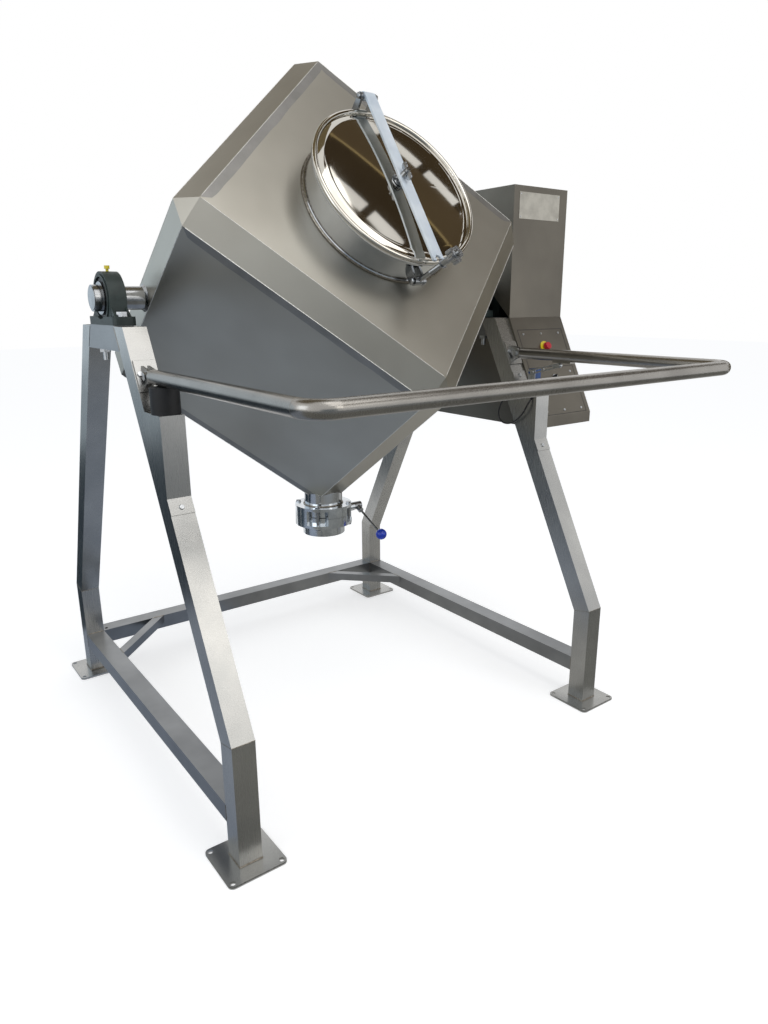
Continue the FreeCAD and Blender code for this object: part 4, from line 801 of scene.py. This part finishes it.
class MIXER_OT_bearings(bpy.types.Operator):
    """Make the ribs on the bearings' feet, the seals, set screws and washers"""
    bl_idname = "mixer.bearings"
    bl_label = "Bearing fittings"

    def execute(self, context):
        cast, seal, screws, washers = (bmesh.new() for _ in range(4))
        seat = SHAFT_Z - BEARING_H
        for side in (-1, 1):
            x = side * POST_X
            for end in (-1, 1):
                for dx in (-0.024, 0.024):
                    foot, head = end * BEARING_END, end * RIB_HEAD
                    ring = []
                    for y, z in ((foot, 0.0275), (head, 0.0275), (head, 0.066)):
                        ring.append([cast.verts.new((x + dx + t, y, seat + z)) for t in (-0.004, 0.004)])
                    for k in range(3):
                        a, b = ring[k], ring[(k + 1) % 3]
                        cast.faces.new((a[0], b[0], b[1], a[1]))
                    cast.faces.new([r[0] for r in ring])
                    cast.faces.new([r[1] for r in ring])
                add_lathe(washers, washer(0.0, 0.0185, 0.0022), (x, end * BOLT_Y, seat + 0.028), Z, 32)
            for face in (-1, 1):
                lip = [(0.0555, 0.0), (0.0690, 0.0), (0.0690, 0.0015), (0.0640, 0.0035), (0.0560, 0.0020)]
                add_lathe(seal, lip, (x + face * 0.0242, 0, SHAFT_Z), X * face, 56)
                for a in (0.9, 2.9):
                    at = Vector((x + face * 0.0315, 0.0552 * math.cos(a), SHAFT_Z + 0.0552 * math.sin(a)))
                    add_lathe(screws, washer(0.0, 0.0032, 0.0006), at, at - Vector((at.x, 0, SHAFT_Z)), 14)
        new_piece("bearing_ribs", cast, "cast_paint", "frame", bevel=0.0012)
        new_piece("bearing_seals", seal, "black", "frame")
        new_piece("bearing_set_screws", screws, "black", "vessel")
        new_piece("bearing_washers", washers, "zinc", "frame")
        return {"FINISHED"}


# Frame

class MIXER_OT_frame_welds(bpy.types.Operator):
    """Lay the welds of the frame"""
    bl_idname = "mixer.frame_welds"
    bl_label = "Frame welds"

    def execute(self, context):
        bm = bmesh.new()
        size = context.scene.mixer.weld_size
        fine, thin = 0.0014, 0.0011
        h = HALF_TUBE
        mitre = h * math.tan(LEAN / 2)
        low_end, high_end = BASE_LOW + 0.004, BASE_TOP - 0.004
        for sx in (-1, 1):
            for sy in (-1, 1):
                x, y = sx * POST_X, sy * POST_Y
                low = FOOT_T + size * 0.3
                foot = [(x - h, y - h, low), (x + h, y - h, low), (x + h, y + h, low), (x - h, y + h, low)]
                add_weld(bm, foot, size, 0.006, True)
                out, inn = y + sy * h, y - sy * h
                add_weld(bm, [(x - h, out, BEND_Z + mitre), (x + h, out, BEND_Z + mitre),
                              (x + h, inn, BEND_Z - mitre), (x - h, inn, BEND_Z - mitre)], thin, closed=True)
                face = sy * (POST_Y - h)
                add_weld(bm, [(x - h + 0.006, face, BASE_TOP), (x + h - 0.006, face, BASE_TOP)], size * 0.7)
                for dx in (-h, h):
                    add_weld(bm, [(x + dx, face, low_end), (x + dx, face, high_end)], fine)
                inner = LEG_TOP_Y - h / math.cos(LEAN)
                drop = 2 * h * math.tan(LEAN)
                for dx in (-h, h):
                    add_weld(bm, [(x + dx, sy * inner, FRAME_TOP - 0.003),
                                  (x + dx, sy * (inner + drop), FRAME_TOP - 2 * h + 0.003)], thin)
            x = sx * (POST_X - h)
            for dy in (-h, h):
                y = POST_Y + dy
                add_weld(bm, [(x, y, low_end), (x, y, high_end)], fine)
            add_weld(bm, [(x, POST_Y - h + 0.006, BASE_TOP), (x, POST_Y + h - 0.006, BASE_TOP)], size * 0.7)
            reach, wide = BRACE_REACH, BRACE_TUBE * math.sqrt(2)
            y = POST_Y - h
            add_weld(bm, [(x, y - reach, BASE_TOP), (x, y - reach + wide, BASE_TOP)], 0.0022)
            near, far = x - sx * (reach - wide), x - sx * reach
            add_weld(bm, [(far, y, BASE_TOP), (near, y, BASE_TOP)], 0.0022)
        new_piece("frame_welds", bm, "weld", "frame")
        return {"FINISHED"}


# Guard rail

class MIXER_OT_rail_welds(bpy.types.Operator):
    """Lay the welds where the guard's pipes and bends meet"""
    bl_idname = "mixer.rail_welds"
    bl_label = "Guard welds"

    def execute(self, context):
        bm = bmesh.new()
        inner = RAIL_FRONT - RAIL_ELBOW
        for side in (-1, 1):
            for at, way, sunk in (((side * POST_X, -inner, RAIL_Z), Y, 0.0006),
                                  ((side * (POST_X - RAIL_ELBOW), -RAIL_FRONT, RAIL_Z), X, 0.0011)):
                add_weld(bm, circle(at, way, RAIL_R - sunk, 44), 0.0010, closed=True)
        new_piece("guard_welds", bm, "weld", "guard")
        return {"FINISHED"}


# Drive cover

# The bare plate and how far in its rivets are, and the heights of the removable panels' edges
RIVET_IN = 0.009
PLATE_IN = 0.165
PLATE_Z = 2.148
PLATE_W = 0.262
PLATE_H = 0.112
PANEL_TOP = 1.610
PANEL_MID = 1.442
PANEL_LOW = 1.236
PANEL_GAP = 0.0022


class MIXER_OT_cover(bpy.types.Operator):
    """Make the cover's removable panel edges and the bare riveted plate"""
    bl_idname = "mixer.cover"
    bl_label = "Cover fittings"

    def execute(self, context):
        plate, rivets, lines = bmesh.new(), bmesh.new(), bmesh.new()
        centre = Vector((OUTER_X + PLATE_IN, -COVER_FRONT - 0.0008, PLATE_Z))
        add_block(plate, centre, (X, Z, -Y), (PLATE_W, PLATE_H, 0.0012))
        for dx in (RIVET_IN - PLATE_W / 2, PLATE_W / 2 - RIVET_IN):
            for dz in (RIVET_IN - PLATE_H / 2, PLATE_H / 2 - RIVET_IN):
                add_lathe(rivets, [(0.0, 0.0022), (0.0022, 0.0018), (0.0034, 0.0)],
                          centre + Vector((dx, -0.0006, dz)), -Y, 18)
        new_piece("cover_plate", plate, "plate", "frame", bevel=0.0004)
        new_piece("cover_rivets", rivets, "zinc", "frame")
        for z in (PANEL_TOP, PANEL_MID, PANEL_LOW):
            at = Vector((PANEL_X, -front_y(z), z)) + PANEL_OUT * 0.0002
            add_block(lines, at, (X, X.cross(PANEL_OUT), PANEL_OUT), (COVER_W - 0.05, PANEL_GAP, 0.0008))
        for dx in (-0.149, 0.149):
            low, high = (Vector((PANEL_X + dx, -front_y(z), z)) + PANEL_OUT * 0.0002
                         for z in (PANEL_LOW, PANEL_TOP))
            add_block(lines, (low + high) / 2, (X, X.cross(PANEL_OUT), PANEL_OUT),
                      (PANEL_GAP, (high - low).length, 0.0008))
        new_piece("cover_panel_gap", lines, "black", "frame")
        return {"FINISHED"}


# Controls and switch

# Height of the selector on the sloping panel, and the middle of the switch's cover face
KNOB_Z = 1.394
SWITCH_FACE = Vector((0.878, -0.426, 1.434))


class MIXER_OT_controls(bpy.types.Operator):
    """Make the selector's white mark and the limit switch's cover screws"""
    bl_idname = "mixer.controls"
    bl_label = "Control and switch fittings"

    def execute(self, context):
        knob = Vector((PANEL_X, -front_y(KNOB_Z), KNOB_Z))
        bm = bmesh.new()
        across = X.cross(PANEL_OUT)
        add_block(bm, knob + PANEL_OUT * 0.0203 + across * 0.004, (X, across, PANEL_OUT),
                  (0.0016, 0.011, 0.0008))
        new_piece("selector_mark", bm, "white_mark", "selector")

        bm = bmesh.new()
        for dy, dz in ((-0.016, 0.009), (0.016, 0.009), (-0.016, -0.040), (0.016, -0.040)):
            add_lathe(bm, [(0.0, 0.0), (0.0028, 0.0), (0.0028, 0.0016), (0.0, 0.0020)],
                      SWITCH_FACE + Vector((0, dy, dz)), X, 16)
        new_piece("switch_screws", bm, "zinc", "frame")
        return {"FINISHED"}


# Stage

# The hall that the metal mirrors: floor, walls, roof and a slanting row of windows
HALL_LEFT, HALL_RIGHT = -14, 7
HALL_FRONT, HALL_BACK = -9, 7
ROOF_Z = 6
CARD_LIFT = 0.004
# Cards: name, colour and their ends along X, then along Y, or Y and the ends along Z
FLOOR_CARDS = (
    ("floor card, blue grey", "#97a0ae", HALL_LEFT, 0, -0.75, 1.3),
    ("floor card, grey", "#848480", HALL_LEFT, 6, -3.3, -0.75),
    ("floor card, pale grey", "#b2b1ae", 0, 6, -0.75, 3.0),
    ("front card, mid grey", "#8f9396", -9, 4, HALL_FRONT, -3.3),
)
WALL_CARDS = (
    ("wall card, grey blue", "#a8b6c0", HALL_LEFT, -0.4, HALL_BACK, 0, 1.0),
    ("side card, sky blue", "#e4f2fd", HALL_LEFT, -0.4, HALL_BACK, 1.0, ROOF_Z),
    ("front wall card, blue grey", "#8b959d", -6.6, 1, HALL_FRONT, 0, 3.0),
)
WINDOW_CENTRE = Vector((2.85, -3.25, 5.1))
WINDOW_OUT = Vector((-0.571, 0.545, -0.613)).normalized()
WINDOW_ALONG = Vector((0.69, 0.72, 0)).normalized()
WINDOW_DOWN = WINDOW_OUT.cross(WINDOW_ALONG)
WINDOW_START = -3.7
WINDOW_TOP, WINDOW_FOOT, WINDOW_SHORT_FOOT = -3.4, 1.5, -0.6
WINDOW_BARS, BARS_FROM, BAR_STEP, BAR_H = 6, -3.3, 0.85, 0.16
# Widths of the strips of wall and their colours; without a colour it is a window with bars across
WINDOW_STRIPS = (
    (0.50, "#52452f"), (0.95, "#5d5342"), (0.05, "#a8956b"), (0.82, "#544631"), (0.05, "#a8956b"),
    (0.62, "#383024"), (0.42, None), (0.65, "#4c402e"), (0.26, None), (0.80, "#403628"),
    (0.05, "#a8956b"), (0.80, "#5a4d3a"), (0.25, None), (0.90, "#463b2b"), (0.40, "#6b5c42"),
)
# Place, width, share of the lamp power and colour
LAMPS = {
    "lamp over": ((0.6, -3.2, 5.6), 3.4, 1.0, (1.0, 0.99, 0.98)),
    "lamp left": ((-5.0, -0.6, 3.0), 2.6, 0.5, (0.86, 0.93, 1.0)),
    "lamp front": ((1.5, -6.6, 3.9), 2.2, 0.4, (1.0, 0.96, 0.90)),
}
LAMPS_LOOK_AT = Vector((0, 0, 1.3))
# Strength of the floor's own light and of the pale surroundings as a light
FLOOR_GLOW = 0.50
SKY_LIGHT = 0.6


class MIXER_OT_stage(bpy.types.Operator):
    """Make the pale floor, the soft lamps and the studio's surroundings"""
    bl_idname = "mixer.stage"
    bl_label = "Stage"

    def execute(self, context):
        settings = context.scene.mixer
        corners = ((-30, -30, 0), (30, -30, 0), (30, 30, 0), (-30, 30, 0))
        floor = self.sheet("floor", corners, self.floor_paint(settings))
        for name, code, corners in self.cards():
            card = self.sheet(name, corners, self.card_paint(name, code))
            card.visible_camera = False
            card.visible_diffuse = False
            card.visible_shadow = False
        for name, (place, size, share, colour) in LAMPS.items():
            data = bpy.data.lights.new(name, "AREA")
            data.size = size
            data.energy = settings.lamp_power * share
            data.color = colour
            lamp = bpy.data.objects.new(name, data)
            context.scene.collection.objects.link(lamp)
            lamp.location = place
            lamp.rotation_euler = (LAMPS_LOOK_AT - Vector(place)).to_track_quat("-Z", "Y").to_euler()
        self.world(context)
        context.scene.view_settings.view_transform = "Standard"
        return {"FINISHED"}

    def sheet(self, name, corners, paint):
        """A flat sheet of the stage."""
        mesh = bpy.data.meshes.new(name)
        mesh.from_pydata(corners, [], [list(range(len(corners)))])
        mesh.materials.append(paint)
        made = bpy.data.objects.new(name, mesh)
        bpy.context.scene.collection.objects.link(made)
        return made

    def seen_rays(self, tree):
        """One where a ray comes from the camera, a reflection or through glass."""
        ray = add(tree, "ShaderNodeLightPath")
        value = ray.outputs["Is Camera Ray"]
        for other in ("Is Glossy Ray", "Is Transmission Ray"):
            value = add(tree, "ShaderNodeMath", {0: value, 1: ray.outputs[other]},
                        operation="MAXIMUM").outputs["Value"]
        return value

    def floor_paint(self, settings):
        """Matt floor that keeps the shadow and looks pale where it is seen."""
        made, tree = blank("studio floor, matt white")
        matt = add(tree, "ShaderNodeBsdfDiffuse", {"Color": settings.floor_colour})
        lift = add(tree, "ShaderNodeEmission", {"Strength": FLOOR_GLOW})
        both = add(tree, "ShaderNodeAddShader", {0: matt.outputs["BSDF"], 1: lift.outputs["Emission"]})
        mix = add(tree, "ShaderNodeMixShader", {0: self.seen_rays(tree), 1: matt.outputs["BSDF"],
                                                2: both.outputs["Shader"]})
        add(tree, "ShaderNodeOutputMaterial", {"Surface": mix.outputs["Shader"]})
        return made

    def card_paint(self, name, code):
        """Plain card that only reflections see."""
        made, tree = blank(name)
        glow = add(tree, "ShaderNodeEmission", {"Color": linear(code), "Strength": 1.0})
        add(tree, "ShaderNodeOutputMaterial", {"Surface": glow.outputs["Emission"]})
        return made

    def cards(self):
        """Name, colour and corners of the cards that stand in for a grey workshop with high windows."""
        z = CARD_LIFT
        for name, code, x0, x1, y0, y1 in FLOOR_CARDS:
            yield name, code, ((x0, y0, z), (x1, y0, z), (x1, y1, z), (x0, y1, z))
        far = ((HALL_LEFT, 1.3, z), (-0.9, 1.3, z), (-0.4, 6.9, z), (HALL_LEFT, 6.9, z))
        yield "far floor card, slate", "#2f3a43", far
        for name, code, x0, x1, y, low, high in WALL_CARDS:
            yield name, code, ((x0, y, low), (x1, y, low), (x1, y, high), (x0, y, high))
        right = ((HALL_RIGHT, -3, 0), (HALL_RIGHT, 4, 0), (HALL_RIGHT, 4, 3.2), (HALL_RIGHT, -3, 3.2))
        yield "right wall card, brown", "#6f685a", right
        roof = ((-3.5, -0.9, ROOF_Z), (1.2, -0.9, ROOF_Z), (1.2, 3.4, ROOF_Z), (-3.5, 3.4, ROOF_Z))
        yield "roof card, brown", "#75694f", roof
        at = WINDOW_START
        for k, (wide, code) in enumerate(WINDOW_STRIPS):
            foot = WINDOW_FOOT if k > 2 else WINDOW_SHORT_FOOT
            if code:
                yield "window strip %d" % k, code, self.window_part(at, wide, WINDOW_TOP, foot)
            else:
                for n in range(WINDOW_BARS):
                    top = BARS_FROM + BAR_STEP * n
                    corners = self.window_part(at, wide, top, top + BAR_H)
                    yield "window bar %d %d" % (k, n), "#3f3526", corners
            at += wide

    def window_part(self, at, wide, top, foot):
        """Corners of a part of the window wall."""
        return [tuple(WINDOW_CENTRE + WINDOW_ALONG * a + WINDOW_DOWN * b)
                for a, b in ((at, top), (at + wide, top), (at + wide, foot), (at, foot))]

    def world(self, context):
        """Pale surroundings, softer as a light than where they are seen."""
        world = bpy.data.worlds.new("studio")
        context.scene.world = world
        world.use_nodes = True
        tree = world.node_tree
        tree.nodes.clear()
        dim = add(tree, "ShaderNodeBackground", {"Color": (0.95, 0.97, 1.0, 1), "Strength": SKY_LIGHT})
        white = add(tree, "ShaderNodeBackground", {"Color": (1, 1, 1, 1), "Strength": 1.0})
        mix = add(tree, "ShaderNodeMixShader", {0: self.seen_rays(tree), 1: dim.outputs["Background"],
                                                2: white.outputs["Background"]})
        add(tree, "ShaderNodeOutputWorld", {"Surface": mix.outputs["Shader"]})


# Panel and registration

OPERATORS = (MIXER_OT_camera, MIXER_OT_cable, MIXER_OT_finishes, MIXER_OT_vessel_welds, MIXER_OT_manhole,
             MIXER_OT_valve, MIXER_OT_bearings, MIXER_OT_frame_welds, MIXER_OT_rail_welds, MIXER_OT_cover,
             MIXER_OT_controls, MIXER_OT_stage)


class MIXER_PT_panel(bpy.types.Panel):
    """Lists the mixer's operators"""
    bl_label = "Mixer"
    bl_idname = "MIXER_PT_panel"
    bl_space_type = "VIEW_3D"
    bl_region_type = "UI"
    bl_category = "Mixer"

    def draw(self, context):
        settings = context.scene.mixer
        for name in MixerSettings.__annotations__:
            self.layout.prop(settings, name)
        for operator in OPERATORS:
            self.layout.operator(operator.bl_idname)


CLASSES = (MixerSettings, *OPERATORS, MIXER_PT_panel)


def register():
    for cls in CLASSES:
        bpy.utils.register_class(cls)
    bpy.types.Scene.mixer = PointerProperty(type=MixerSettings)


def unregister():
    del bpy.types.Scene.mixer
    for cls in reversed(CLASSES):
        bpy.utils.unregister_class(cls)


def main():
    register()
    for operator in OPERATORS:
        group, name = operator.bl_idname.split(".")
        getattr(getattr(bpy.ops, group), name)()


if __name__ == "__main__":
    main()
